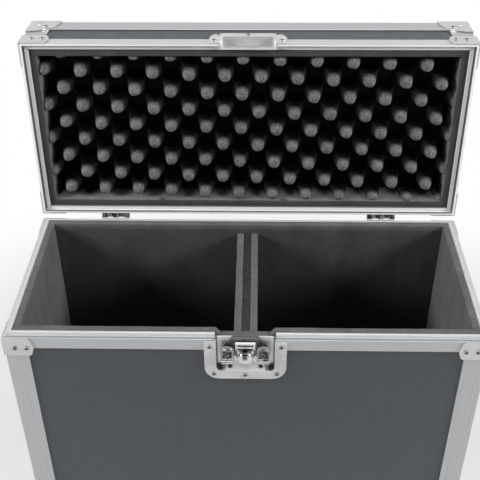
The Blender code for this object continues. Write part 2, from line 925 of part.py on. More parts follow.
cut(
    latch_hub,
    cylinder(
        "latch_axle_hole",
        in_front(-HUB_KNOB_RADIUS - OVERRUN, -axle_drop, WING_AXLE_OUT),
        in_front(HUB_KNOB_RADIUS + OVERRUN, -axle_drop, WING_AXLE_OUT),
        WING_AXLE_RADIUS + GAP,
        sides=SMALL_SIDES,
    ),
)

# The two wings share one axle through the hub, and fold outwards about it
wing_frame = FRONT_FRAME @ Matrix.Translation((0, -axle_drop, WING_AXLE_OUT))
wing_top = WING_TOP_RISE + WING_AXLE_DROP


def wing_outline(side, margin):
    near = side * (WING_INNER_SPAN / 2 + margin)
    far = side * (WING_SPAN / 2 - margin)
    outline = rounded(
        [
            (near, margin - WING_LUG_RADIUS),
            (far, margin - WING_LUG_RADIUS),
            (far, wing_top - margin),
            (near, wing_top - margin),
        ],
        [
            WING_INNER_CORNER,
            WING_OUTER_CORNER - margin,
            WING_OUTER_CORNER - margin,
            WING_INNER_CORNER,
        ],
        4,
    )
    return outline if side > 0 else outline[::-1]


def wing_cylinder(name, start, end, radius, look=None):
    ends = [wing_frame @ Vector((x, 0, 0)) for x in (start, end)]
    return cylinder(name, ends[0], ends[1], radius, look, SMALL_SIDES)


butterfly = plate(
    "latch_butterfly", wing_outline(1, 0), WING_THICKNESS, wing_frame, CHROME
)
join(
    butterfly,
    plate("wing_left", wing_outline(-1, 0), WING_THICKNESS, wing_frame),
    wing_cylinder("wing_axle", -WING_LUG_END, WING_LUG_END, WING_AXLE_RADIUS),
    wing_cylinder("wing_lug_left", -WING_LUG_END, -WING_LUG_START, WING_LUG_RADIUS),
    wing_cylinder("wing_lug_right", WING_LUG_START, WING_LUG_END, WING_LUG_RADIUS),
)
hollow_middle = WING_THICKNESS / 2 - WING_HOLLOW_DEPTH / 2 + OVERRUN / 2
for side, name in ((-1, "left"), (1, "right")):
    cut(
        butterfly,
        plate(
            f"wing_hollow_{name}",
            [(x, y + WING_HOLLOW_MARGIN / 2) for x, y in wing_outline(side, WING_HOLLOW_MARGIN)],
            WING_HOLLOW_DEPTH + OVERRUN,
            wing_frame @ Matrix.Translation((0, 0, hollow_middle)),
        ),
    )

# Hook plate, behind the knob and in front of the bridge
hook_half = HOOK_WIDTH / 2
latch_hook = front_plate(
    "latch_hook",
    rounded(
        mirrored([(hook_half, -HOOK_BOTTOM_DROP), (hook_half, -HOOK_TOP_DROP)]),
        [HOOK_CORNER] * 4,
        3,
    ),
    hook_back,
    hook_front,
    CHROME,
)
lip_half = hook_half - HOOK_CORNER
join(
    latch_hook,
    front_plate(
        "hook_lip",
        mirrored(
            [
                (lip_half, -HOOK_TOP_DROP - HOOK_LIP_HEIGHT),
                (lip_half, -HOOK_TOP_DROP - HOOK_LIP_HEIGHT / 8),
            ]
        ),
        hook_back + HOOK_SHEET / 2,
        hook_front + HOOK_LIP,
    ),
)
for index in range(2):
    middle = -HOOK_SLOT_DROP - index * HOOK_SLOT_PITCH
    cut(
        latch_hook,
        front_plate(
            f"hook_slot_{index}",
            mirrored(
                [
                    (HOOK_SLOT_WIDTH / 2, middle - HOOK_SLOT_HEIGHT / 2),
                    (HOOK_SLOT_WIDTH / 2, middle + HOOK_SLOT_HEIGHT / 2),
                ]
            ),
            hook_back - OVERRUN,
            hook_front + OVERRUN,
        ),
    )

# Hinges, with the pins fixed in the body leaves
leaf_low = HALF_DEPTH + GAP
leaf_high = leaf_low + HINGE_SHEET
knuckle_length = HINGE_WIDTH / HINGE_KNUCKLES
barrel_clear = HINGE_BARREL_RADIUS + GAP


def hinge_leaf(name, middle, direction, first, pinned):
    """A leaf with every other knuckle, its plate running up or down from the axis."""
    edges = sorted(
        (
            HINGE_AXIS.z + direction * barrel_clear,
            HINGE_AXIS.z + direction * HINGE_LEAF,
        )
    )
    made = box(
        name,
        (middle - HINGE_WIDTH / 2, leaf_low, edges[0]),
        (middle + HINGE_WIDTH / 2, leaf_high, edges[1]),
        BRIGHT_STEEL,
    )
    for index in range(first, HINGE_KNUCKLES, 2):
        start = middle - HINGE_WIDTH / 2 + index * knuckle_length + GAP / 2
        end = start + knuckle_length - GAP
        webs = sorted((HINGE_AXIS.z, HINGE_AXIS.z + direction * (barrel_clear + OVERRUN)))
        join(
            made,
            box(f"{name}_web_{index}", (start, leaf_low, webs[0]), (end, leaf_high, webs[1])),
            cylinder(
                f"{name}_knuckle_{index}",
                (start, HINGE_AXIS.y, HINGE_AXIS.z),
                (end, HINGE_AXIS.y, HINGE_AXIS.z),
                HINGE_BARREL_RADIUS,
                sides=SMALL_SIDES,
            ),
        )
    reach = HINGE_WIDTH / 2 - GAP if pinned else HINGE_WIDTH / 2 + OVERRUN
    pin = cylinder(
        name + "_pin",
        (middle - reach, HINGE_AXIS.y, HINGE_AXIS.z),
        (middle + reach, HINGE_AXIS.y, HINGE_AXIS.z),
        HINGE_PIN_RADIUS if pinned else HINGE_PIN_RADIUS + HINGE_PIN_CLEARANCE,
        sides=SMALL_SIDES,
    )
    return join(made, pin) if pinned else cut(made, pin)


for side, name in ((-1, "left"), (1, "right")):
    hinge_leaf(f"hinge_{name}_body_leaf", side * HINGE_CENTRE, -1, 0, True)

# Side handles, each a sprung bail in two lugs
handle_z = BASE_Z + HANDLE_ABOVE_FLOOR
for side, name in ((-1, "left"), (1, "right")):
    plate_back = side * (HALF_WIDTH - PANEL_OUT + GAP)
    handle_frame = frame_matrix((plate_back, 0, handle_z), (0, side, 0), UP)
    half_width = HANDLE_PLATE_WIDTH / 2
    half_height = HANDLE_PLATE_HEIGHT / 2
    handle_plate = plate(
        f"handle_{name}_plate",
        rounded(
            mirrored([(half_width, -half_height), (half_width, half_height)]),
            [HANDLE_PLATE_CORNER] * 4,
        ),
        HANDLE_PLATE_SHEET,
        handle_frame @ Matrix.Translation((0, 0, HANDLE_PLATE_SHEET / 2)),
        BRIGHT_STEEL,
    )
    axis_out = HANDLE_PLATE_SHEET + HANDLE_AXIS_OUT
    lug_outline = [
        (-HANDLE_LUG_RADIUS, HANDLE_PLATE_SHEET / 2),
        (HANDLE_LUG_RADIUS, HANDLE_PLATE_SHEET / 2),
    ] + arc((0, axis_out), HANDLE_LUG_RADIUS, 0, 180, 8)
    for end, lug in ((-1, "near"), (1, "far")):
        middle = end * HANDLE_LUG_SPACING / 2
        join(
            handle_plate,
            plate(
                f"handle_{name}_lug_{lug}",
                lug_outline,
                HANDLE_LUG_LENGTH,
                handle_frame @ frame_matrix((middle, 0, 0), (0, 1, 0), UP),
            ),
        )
    bore = HANDLE_LUG_SPACING / 2 + HANDLE_LUG_LENGTH
    cut(
        handle_plate,
        cylinder(
            f"handle_{name}_bore",
            handle_frame @ Vector((-bore, 0, axis_out)),
            handle_frame @ Vector((bore, 0, axis_out)),
            HANDLE_ROD_RADIUS + HANDLE_ROD_CLEARANCE,
            sides=SMALL_SIDES,
        ),
    )
    bail_frame = handle_frame @ Matrix.Translation((0, 0, axis_out))
    stub = HANDLE_LUG_SPACING / 2 + HANDLE_LUG_LENGTH / 2 - GAP
    arm = HANDLE_ARM_SPACING / 2
    right_half = (
        [(stub, 0)]
        + [(x, y) for x, y in arc((arm + HANDLE_BEND, -HANDLE_BEND), HANDLE_BEND, 90, 180)]
        + [
            (x, y)
            for x, y in arc(
                (arm - HANDLE_BEND, HANDLE_BEND - HANDLE_DROP), HANDLE_BEND, 0, -90
            )
        ]
    )
    route = right_half + [(-x, y) for x, y in reversed(right_half)]
    bail = rod(
        f"handle_{name}_bail",
        [(x, y, 0) for x, y in route],
        HANDLE_ROD_RADIUS,
        bail_frame,
        BRIGHT_STEEL,
    )
    grip_half = HANDLE_GRIP_LENGTH / 2
    join(
        bail,
        cylinder(
            f"handle_{name}_grip",
            bail_frame @ Vector((-grip_half, -HANDLE_DROP, 0)),
            bail_frame @ Vector((grip_half, -HANDLE_DROP, 0)),
            HANDLE_GRIP_RADIUS,
            sides=ROUND_SIDES,
        ),
    )

# The lid, drawn shut on the body, and opened below
body_objects = set(parts.objects) | set(cutters.objects)
joint_z = LEDGE_Z + JOINT_RISE
web_top = LIP_DEPTH + GROOVE_DEPTH + RAIL_WEB
board_low = joint_z + web_top + GAP
board_high = TOP_Z - PANEL_OUT
side_boards = box(
    "lid_side_boards",
    (-HALF_WIDTH + PANEL_OUT, -HALF_DEPTH + PANEL_OUT, board_low),
    (HALF_WIDTH - PANEL_OUT, HALF_DEPTH - PANEL_OUT, board_high),
    LAMINATE,
)
cut(
    side_boards,
    box(
        "lid_boards_inside",
        (-HALF_WIDTH + PANEL_IN, -HALF_DEPTH + PANEL_IN, board_low - OVERRUN),
        (HALF_WIDTH - PANEL_IN, HALF_DEPTH - PANEL_IN, board_high + OVERRUN),
    ),
    box(
        "lid_boards_latch_notch",
        (-RAIL_END_X, -HALF_DEPTH, LEDGE_Z),
        (
            RAIL_END_X,
            -HALF_DEPTH + PANEL_IN + OVERRUN,
            LEDGE_Z + KEEPER_RECESS_RISE + DISH_SHEET + GAP,
        ),
    ),
)
lid_roof = board_high - PLYWOOD
box(
    "lid_top_panel",
    (-HALF_WIDTH + PANEL_IN + GAP, -HALF_DEPTH + PANEL_IN + GAP, lid_roof),
    (HALF_WIDTH - PANEL_IN - GAP, HALF_DEPTH - PANEL_IN - GAP, board_high),
    LAMINATE,
)
soften(
    angle_frame(
        "lid_edge_frame", joint_z + LID_RAIL_LEG + GAP, TOP_Z, TOP_Z, TOP_Z - ANGLE_LEG
    ),
    ANGLE_EDGE,
)
groove_in = LIP_WIDTH + GROOVE_WIDTH
lid_profile = rounded(
    [
        (0, 0),
        (LIP_WIDTH, 0),
        (LIP_WIDTH, LIP_DEPTH + GROOVE_DEPTH),
        (groove_in, LIP_DEPTH + GROOVE_DEPTH),
        (groove_in, LIP_DEPTH),
        (RAIL_WIDTH, LIP_DEPTH),
        (RAIL_WIDTH, LID_RAIL_INNER_LEG),
        (RAIL_WIDTH - RAIL_INNER_WALL, LID_RAIL_INNER_LEG),
        (RAIL_WIDTH - RAIL_INNER_WALL, web_top),
        (SKIN, web_top),
        (SKIN, LID_RAIL_LEG),
        (0, LID_RAIL_LEG),
    ],
    [RAIL_ROUNDING, RAIL_ROUNDING, 0, 0, 0, RAIL_ROUNDING, 0, 0, 0, 0, 0, 0],
    2,
)
lid_faces = faces_at(joint_z)
rail(
    "lid_rim_front_left",
    lid_profile,
    lid_faces["front"],
    -HALF_WIDTH + mitre_gap,
    -RAIL_END_X,
    (True, False),
)
rail(
    "lid_rim_front_right",
    lid_profile,
    lid_faces["front"],
    RAIL_END_X,
    HALF_WIDTH - mitre_gap,
    (False, True),
)
lid_rim = rail(
    "lid_rim_rear_and_sides",
    lid_profile,
    lid_faces["rear"],
    -HALF_WIDTH - RAIL_WELD,
    HALF_WIDTH + RAIL_WELD,
    (True, True),
)
for name in ("left", "right"):
    if name == "left":
        ends = (-HALF_DEPTH - RAIL_WELD, HALF_DEPTH - mitre_gap)
    else:
        ends = (mitre_gap - HALF_DEPTH, HALF_DEPTH + RAIL_WELD)
    join(
        lid_rim,
        rail(f"lid_rim_{name}", lid_profile, lid_faces[name], *ends, (True, True), None),
    )

for corner, (sx, sy) in CORNERS.items():
    brace_low = joint_z + BRACE_DROP
    brace(f"lid_rim_brace_{corner}", sx, sy, brace_low, brace_low + BRACE_HEIGHT)
    ball_corner(f"lid_ball_corner_{corner}", sx, sy, 1, TOP_Z)

# Foam in the lid: a plain ring round the walls, and the sheet of peaks and hollows
lid_foam_low = joint_z + LIP_DEPTH + LID_FOAM_DROP
lid_foam_high = lid_roof - GAP
wall_foam = box(
    "lid_wall_foam",
    (-HALF_WIDTH + FOAM_OUT, -HALF_DEPTH + FOAM_OUT, lid_foam_low),
    (HALF_WIDTH - FOAM_OUT, HALF_DEPTH - FOAM_OUT, lid_foam_high),
    GREY_FOAM,
)
cut(
    wall_foam,
    box(
        "wall_foam_inside",
        (-HALF_WIDTH + FOAM_IN, -HALF_DEPTH + FOAM_IN, lid_foam_low - OVERRUN),
        (HALF_WIDTH - FOAM_IN, HALF_DEPTH - FOAM_IN, lid_foam_high + OVERRUN),
    ),
)


def egg_crate(name, half_x, half_y, back, look):
    """A closed sheet whose near side rises to peaks in staggered rows, turned a little."""
    shape = bmesh.new()
    bmesh.ops.create_grid(
        shape,
        x_segments=round(2 * half_x / EGG_PITCH_X * EGG_STEPS_PER_PITCH),
        y_segments=round(2 * half_y / EGG_PITCH_Y * EGG_STEPS_PER_PITCH),
        size=1,
    )
    near = joint_z + EGG_PEAK_DROP
    peak = Vector((EGG_PEAK_X, EGG_PEAK_Y))
    to_rows = Matrix.Rotation(-EGG_TURN, 2)
    for vert in shape.verts:
        place = Vector((vert.co.x * half_x, vert.co.y * half_y))
        along, across = to_rows @ (place - peak)
        turn_x = 2 * math.pi * along / EGG_PITCH_X
        turn_y = 2 * math.pi * across / EGG_PITCH_Y
        wave = (1 + math.cos(turn_x) * math.cos(turn_y)) / 2
        climb = (wave - EGG_FOOT_SHARE) / (EGG_CROWN_SHARE - EGG_FOOT_SHARE)
        climb = min(max(climb, 0), 1)
        peak_share = climb * climb * (3 - 2 * climb)
        vert.co = Vector((*place, near + EGG_RELIEF * (1 - peak_share)))
    rim = [edge for edge in shape.edges if edge.is_boundary]
    raised = bmesh.ops.extrude_edge_only(shape, edges=rim)
    walls = [item for item in raised["geom"] if isinstance(item, bmesh.types.BMVert)]
    for vert in walls:
        vert.co.z = back
    bmesh.ops.contextual_create(
        shape, geom=[item for item in raised["geom"] if isinstance(item, bmesh.types.BMEdge)]
    )
    bmesh.ops.recalc_face_normals(shape, faces=shape.faces)
    mesh = bpy.data.meshes.new(name)
    shape.to_mesh(mesh)
    shape.free()
    return add(name, mesh, Matrix.Identity(4), look, SMOOTH)


egg_crate(
    "lid_egg_crate_foam",
    HALF_WIDTH - FOAM_IN - GAP,
    HALF_DEPTH - FOAM_IN - GAP,
    lid_foam_high,
    GREY_FOAM,
)

# Butterfly latch on the lid
keeper = dish(
    "latch_keeper_dish",
    rounded(
        mirrored([(flange_half, KEEPER_FLANGE_RISE), (flange_half, KEEPER_TOP_RISE)]),
        [RAIL_ROUNDING, DISH_CORNER, DISH_CORNER, RAIL_ROUNDING],
    ),
    rounded(
        mirrored([(tub_half, JOINT_RISE), (tub_half, KEEPER_RECESS_RISE + DISH_SHEET)]),
        [0, RECESS_CORNER + DISH_SHEET, RECESS_CORNER + DISH_SHEET, 0],
        3,
    ),
    rounded(
        mirrored([(recess_half, -OVERRUN), (recess_half, KEEPER_RECESS_RISE)]),
        [0, RECESS_CORNER, RECESS_CORNER, 0],
        3,
    ),
    CHROME,
)
join(
    keeper,
    front_plate(
        "keeper_bar",
        mirrored(
            [
                (KEEPER_BAR_WIDTH / 2, KEEPER_BAR_RISE),
                (KEEPER_BAR_WIDTH / 2, KEEPER_BAR_RISE + KEEPER_BAR_HEIGHT),
            ]
        ),
        RECESS_BACK - embed,
        RECESS_BACK + KEEPER_BAR_DEPTH,
    ),
)
for side, name in ((-1, "left"), (1, "right")):
    hinge_leaf(f"hinge_{name}_lid_leaf", side * HINGE_CENTRE, 1, 1, False)

# Open the lid about its hinge axis
hinge = bpy.data.objects.new("lid_hinge_axis", None)
hinge.matrix_world = Matrix.Translation(HINGE_AXIS)
parts.objects.link(hinge)
swing = Matrix.Rotation(-LID_OPEN_ANGLE, 4, "X")
about_hinge = hinge.matrix_world @ swing @ hinge.matrix_world.inverted()
for piece in set(parts.objects) | set(cutters.objects):
    if piece in body_objects or piece == hinge:
        continue
    piece.matrix_world = about_hinge @ piece.matrix_world
    piece.parent = hinge
    piece.matrix_parent_inverse = hinge.matrix_world.inverted()

# Put the middle of the whole open case over the origin
ball_centre = Vector((0, BALL_INSET - HALF_DEPTH, TOP_Z - BALL_INSET))
rearmost = (about_hinge @ ball_centre).y + BALL_RADIUS
foremost = -HALF_DEPTH - knob_front
middle = Matrix.Translation((0, -(rearmost + foremost) / 2, 0))
for piece in set(parts.objects) | set(cutters.objects):
    if piece.parent is None:
        piece.matrix_world = middle @ piece.matrix_world
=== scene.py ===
import json
import math

import bmesh
import bpy
from mathutils import Matrix, Vector, noise


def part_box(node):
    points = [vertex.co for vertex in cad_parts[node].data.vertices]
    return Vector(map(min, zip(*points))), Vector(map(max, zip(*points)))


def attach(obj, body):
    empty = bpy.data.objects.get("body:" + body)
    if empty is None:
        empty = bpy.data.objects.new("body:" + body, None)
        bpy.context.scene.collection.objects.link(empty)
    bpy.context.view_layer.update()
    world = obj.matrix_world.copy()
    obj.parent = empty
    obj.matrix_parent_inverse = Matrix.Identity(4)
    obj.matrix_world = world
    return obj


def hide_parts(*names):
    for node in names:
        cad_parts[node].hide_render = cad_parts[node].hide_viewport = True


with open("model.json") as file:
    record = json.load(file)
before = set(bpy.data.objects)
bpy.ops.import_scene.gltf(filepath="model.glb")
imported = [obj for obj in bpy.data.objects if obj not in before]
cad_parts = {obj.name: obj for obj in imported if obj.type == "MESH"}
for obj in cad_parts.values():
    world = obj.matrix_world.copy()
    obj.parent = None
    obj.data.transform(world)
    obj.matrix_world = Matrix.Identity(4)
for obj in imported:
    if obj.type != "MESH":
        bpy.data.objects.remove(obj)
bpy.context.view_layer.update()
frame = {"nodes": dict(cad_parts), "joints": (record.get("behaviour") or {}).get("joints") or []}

# The foam's unevenness comes out the same each run
noise_seed = 7
noise.seed_set(noise_seed)

# The case's main sizes
tongue_height = 0.0048
foot_height = 0.015
half_width = 0.310
half_depth = 0.133
lid_gap = 0.0004
lid_height = 0.090
lid_opening = -93.5

# Where the case stands in the frame, read from its own pieces
case_y = (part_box("divider_board")[0].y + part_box("divider_board")[1].y) / 2
tongue_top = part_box("body_rim_front_left")[1].z
ledge = tongue_top - tongue_height
ground = 0.0
front_face = case_y - half_depth
rear_face = case_y + half_depth
base_z = ground + foot_height
lid_base = ledge + lid_gap
lid_top = ledge + lid_height

# The lid's pieces are drawn with the lid shut, and this swings them open
hinge_joint = next(j for j in frame["joints"] if j["name"] == "lid_hinge")
hinge_line = Vector(hinge_joint["pos_m"])
opened = (
    Matrix.Translation(hinge_line)
    @ Matrix.Rotation(math.radians(lid_opening), 4, "X")
    @ Matrix.Translation(-hinge_line)
)

# Camera, solved from the case's outlines
camera_lens = 64.05
camera_pitch, camera_yaw, camera_roll = 36.361, -1.389, 0.433
camera_right, camera_back, camera_up = 0.0135, 0.9286, 0.7383

camera = bpy.data.cameras.new("camera")
camera.lens = camera_lens
camera.sensor_width = 36
camera_rig = bpy.data.objects.new("camera", camera)
bpy.context.scene.collection.objects.link(camera_rig)
pitch, yaw, roll = (math.radians(a) for a in (camera_pitch, camera_yaw, camera_roll))
looking = Vector(
    (math.sin(yaw) * math.cos(pitch), math.cos(yaw) * math.cos(pitch), -math.sin(pitch))
)
level = Vector((math.cos(yaw), -math.sin(yaw), 0))
downward = looking.cross(level)
image_right = math.cos(roll) * level + math.sin(roll) * downward
image_down = -math.sin(roll) * level + math.cos(roll) * downward
turned = Matrix((image_right, -image_down, -looking)).transposed()
camera_place = (camera_right, case_y - camera_back, tongue_top + camera_up)
camera_rig.matrix_world = Matrix.Translation(camera_place) @ turned.to_4x4()
bpy.context.scene.camera = camera_rig


# Steps that the materials are made of
def new_material(name, colour, roughness, metallic=0.0):
    made = bpy.data.materials.new(name)
    made.use_nodes = True
    shader = made.node_tree.nodes["Principled BSDF"]
    shader.inputs["Base Color"].default_value = (*colour, 1)
    shader.inputs["Roughness"].default_value = roughness
    shader.inputs["Metallic"].default_value = metallic
    return made, made.node_tree, shader


def grey(level):
    return (level, level, level)


def tinted(tone, *shares):
    return tuple(tone * share for share in shares)


def noise_on(tree, scale, detail=4, stretch=(1, 1, 1), roughness=0.5):
    """A noise pattern on Object coordinates, stretched per axis."""
    coords = tree.nodes.new("ShaderNodeTexCoord")
    mapping = tree.nodes.new("ShaderNodeMapping")
    mapping.inputs["Scale"].default_value = stretch
    pattern = tree.nodes.new("ShaderNodeTexNoise")
    pattern.inputs["Scale"].default_value = scale
    pattern.inputs["Detail"].default_value = detail
    pattern.inputs["Roughness"].default_value = roughness
    tree.links.new(coords.outputs["Object"], mapping.inputs["Vector"])
    tree.links.new(mapping.outputs["Vector"], pattern.inputs["Vector"])
    return pattern.outputs["Fac"]


def ramp(tree, value, low, high, dark, light):
    blend = tree.nodes.new("ShaderNodeValToRGB")
    blend.color_ramp.elements[0].position = low
    blend.color_ramp.elements[1].position = high
    blend.color_ramp.elements[0].color = (*dark, 1)
    blend.color_ramp.elements[1].color = (*light, 1)
    tree.links.new(value, blend.inputs["Fac"])
    return blend.outputs["Color"]


def mapped(tree, value, start, end, low=0.0, high=1.0, smooth=False):
    """low at start going over to high at end."""
    fit = tree.nodes.new("ShaderNodeMapRange")
    if smooth:
        fit.interpolation_type = "SMOOTHSTEP"
    fit.inputs["From Min"].default_value = start
    fit.inputs["From Max"].default_value = end
    fit.inputs["To Min"].default_value = low
    fit.inputs["To Max"].default_value = high
    tree.links.new(value, fit.inputs["Value"])
    return fit.outputs["Result"]


def combined(tree, operation, first, second=None):
    """A step of arithmetic on one or two values, each a socket or a number."""
    step = tree.nodes.new("ShaderNodeMath")
    step.operation = operation
    for k, value in enumerate((first, second)):
        if isinstance(value, (int, float)):
            step.inputs[k].default_value = value
        elif value is not None:
            tree.links.new(value, step.inputs[k])
    return step.outputs["Value"]


def every(tree, first, *others):
    """1 where each of the masks is 1."""
    for other in others:
        first = combined(tree, "MULTIPLY", first, other)
    return first


def either(tree, first, *others):
    """1 where one of the masks is 1."""
    for other in others:
        first = combined(tree, "MAXIMUM", first, other)
    return first


def outside(tree, mask):
    return combined(tree, "SUBTRACT", 1.0, mask)


def size_of(tree, value):
    return combined(tree, "ABSOLUTE", value)


def within(tree, value, low, high, soft=0.0002):
    """1 between low and high, 0 outside."""
    above = mapped(tree, value, low - soft, low + soft)
    below = mapped(tree, value, high + soft, high - soft)
    return every(tree, above, below)


def multiplied(tree, first, second):
    """One colour multiplied by another."""
    mix = tree.nodes.new("ShaderNodeMix")
    mix.data_type = "RGBA"
    mix.blend_type = "MULTIPLY"
    mix.inputs["Factor"].default_value = 1.0
    tree.links.new(first, mix.inputs["A"])
    tree.links.new(second, mix.inputs["B"])
    return mix.outputs["Result"]


def coloured(tree, shader, value, low, high, dark, light):
    tree.links.new(ramp(tree, value, low, high, dark, light), shader.inputs["Base Color"])


def roughened(tree, shader, value, low, high):
    """Roughness from low to high over the middle of a noise pattern's range."""
    tree.links.new(mapped(tree, value, 0.3, 0.7, low, high), shader.inputs["Roughness"])


def relief(tree, shader, value, strength, distance):
    bump = tree.nodes.new("ShaderNodeBump")
    bump.inputs["Strength"].default_value = strength
    bump.inputs["Distance"].default_value = distance
    tree.links.new(value, bump.inputs["Height"])
    tree.links.new(bump.outputs["Normal"], shader.inputs["Normal"])


def shaded_where(tree, shader, mask, colour):
    """Another base colour where the mask is 1."""
    plain = shader.inputs["Base Color"].links[0].from_socket
    mix = tree.nodes.new("ShaderNodeMix")
    mix.data_type = "RGBA"
    tree.links.new(mask, mix.inputs["Factor"])
    tree.links.new(plain, mix.inputs["A"])
    mix.inputs["B"].default_value = (*colour, 1)
    tree.links.new(mix.outputs["Result"], shader.inputs["Base Color"])


def dull_where(tree, shader, mask, metallic):
    """Metallic as given, and none where the mask is 1."""
    left = combined(tree, "MULTIPLY", outside(tree, mask), metallic)
    tree.links.new(left, shader.inputs["Metallic"])


def place_parts(tree, moved=None):
    """X, Y and Z of the Object coordinates, turned and moved first where moved says so."""
    place = tree.nodes.new("ShaderNodeTexCoord").outputs["Object"]
    if moved:
        mapping = tree.nodes.new("ShaderNodeMapping")
        mapping.inputs["Rotation"].default_value = moved.to_euler()
        mapping.inputs["Location"].default_value = moved.to_translation()
        tree.links.new(place, mapping.inputs["Vector"])
        place = mapping.outputs["Vector"]
    parts = tree.nodes.new("ShaderNodeSeparateXYZ")
    tree.links.new(place, parts.inputs["Vector"])
    return parts.outputs


def from_sides(tree, place):
    """How far a point lies in from the case's left or right face."""
    return combined(tree, "SUBTRACT", half_width, size_of(tree, place["X"]))


# The looks, one function for each kind
def laminate():
    made, tree, shader = new_material("dark_grey_laminate", (0.078, 0.086, 0.096), 0.5)
    grain = noise_on(tree, 900, 3)
    coloured(tree, shader, grain, 0.3, 0.7, (0.053, 0.060, 0.068), (0.079, 0.088, 0.098))
    roughened(tree, shader, noise_on(tree, 60, 4), 0.44, 0.58)
    relief(tree, shader, grain, 0.25, 0.0002)
    return made


def drawn_aluminium(name, stretch, tone=0.50, metallic=0.62):
    made, tree, shader = new_material(name, grey(tone), 0.36, metallic)
    lines = noise_on(tree, 40, 5, stretch, 0.6)
    dark = tinted(tone, 0.86, 0.875, 0.895)
    light = tinted(tone, 1.06, 1.075, 1.09)
    coloured(tree, shader, lines, 0.25, 0.75, dark, light)
    roughened(tree, shader, lines, 0.26, 0.40)
    relief(tree, shader, lines, 0.12, 0.0002)
    return made


def plated_steel(name, tone, rough, metallic):
    made, tree, shader = new_material(name, grey(tone), rough, metallic)
    smear = noise_on(tree, 45, 3)
    roughened(tree, shader, smear, rough * 0.92, rough * 1.12)
    light = tinted(tone, 1.05, 1.055, 1.06)
    coloured(tree, shader, smear, 0.3, 0.7, grey(tone * 0.94), light)
    relief(tree, shader, noise_on(tree, 400, 3), 0.02, 0.0002)
    return made


def chrome(name, tone):
    made, tree, shader = new_material(name, grey(tone), 0.08, 1.0)
    smear = noise_on(tree, 120, 4)
    roughened(tree, shader, smear, 0.05, 0.14)
    light = tinted(tone, 1.02, 1.03, 1.05)
    coloured(tree, shader, smear, 0.3, 0.7, grey(tone * 0.94), light)
    relief(tree, shader, noise_on(tree, 70, 3), 0.12, 0.0006)
    return made


def tray_plating_painted_light_and_shade():
    """Plating with painted light that brightens the latch's recess, and painted shade by its
    walls, in its corners, around the bridge and beside the knob.
    """
    made = plated_steel("latch_tray_plating", 0.72, 0.28, 0.16)
    tree = made.node_tree
    shader = tree.nodes["Principled BSDF"]
    place = place_parts(tree)
    aside, z = size_of(tree, place["X"]), place["Z"]
    inside = mapped(tree, place["Y"], front_face - 0.0004, front_face + 0.0004)
    wall_shade = mapped(tree, aside, 0.0355, 0.0368)
    corner_shade = every(
        tree,
        mapped(tree, aside, 0.0275, 0.0315),
        mapped(tree, z, ledge - 0.0450, ledge - 0.0475),
    )
    shade_behind_bridge = every(
        tree,
        mapped(tree, aside, 0.0180, 0.0168),
        mapped(tree, z, ledge - 0.0060, ledge - 0.0045),
    )
    slope, top_half_width, top_drop = 0.72, 0.0176, 0.0012
    slant = top_half_width + slope * (ledge - top_drop)
    along_slant = combined(tree, "ADD", aside, combined(tree, "MULTIPLY", z, slope))
    bridge = every(
        tree,
        mapped(tree, along_slant, slant + 0.0004, slant),
        mapped(tree, z, ledge - 0.0172, ledge - 0.0168),
    )
    shade_beside_knob = every(
        tree,
        within(tree, aside, 0.0126, 0.0166, 0.0006),
        within(tree, z, ledge - 0.0330, ledge - 0.0160, 0.0008),
    )
    dark = either(tree, wall_shade, corner_shade, shade_behind_bridge, bridge, shade_beside_knob)
    # Painted light on the recess's inside, then painted shade on its walls, lower corners,
    # bridge sides and beside the knob
    shaded_where(tree, shader, inside, (0.96, 0.965, 0.97))
    shaded_where(tree, shader, every(tree, dark, inside), (0.170, 0.178, 0.185))
    return made


rail_tone, rail_metallic = 0.66, 0.34


def grooved_rail():
    """The lid's rail: as the body's outside, with painted light making it brighter inside and
    painted shadow along its lines.
    """
    made = drawn_aluminium("lid_rail", (0.15, 30, 30), rail_tone, rail_metallic)
    tree = made.node_tree
    shader = tree.nodes["Principled BSDF"]
    place = place_parts(tree, opened.inverted())
    from_side = from_sides(tree, place)
    off_middle = size_of(tree, combined(tree, "SUBTRACT", place["Y"], case_y))
    from_end = combined(tree, "SUBTRACT", half_depth, off_middle)
    inside = mapped(tree, combined(tree, "MINIMUM", from_side, from_end), 0.0004, 0.0008)
    # Painted light: the rail's inside faces are coloured brighter and less metallic than its
    # outside
    shaded_where(tree, shader, inside, (0.93, 0.935, 0.94))
    dull_where(tree, shader, inside, rail_metallic)
    rear = mapped(tree, combined(tree, "SUBTRACT", from_side, from_end), 0, 0.0001)
    near_face = mapped(tree, place["Z"], lid_base + 0.0041, lid_base + 0.0035)
    lip_shadow_line = every(tree, within(tree, from_end, 0.0028, 0.0038), near_face)
    inner_edge_shadow = mapped(tree, from_end, 0.0089, 0.0094)
    rear_shadow_lines = every(tree, either(tree, lip_shadow_line, inner_edge_shadow), rear)
    side_shadow_line = every(tree, within(tree, from_side, 0.0033, 0.0046), outside(tree, rear))
    # Painted shadow: dark lines in the lip's groove, along the inner edge and along the sides'
    # groove
    shaded_where(tree, shader, either(tree, rear_shadow_lines, side_shadow_line), (0.150, 0.160, 0.170))
    return made


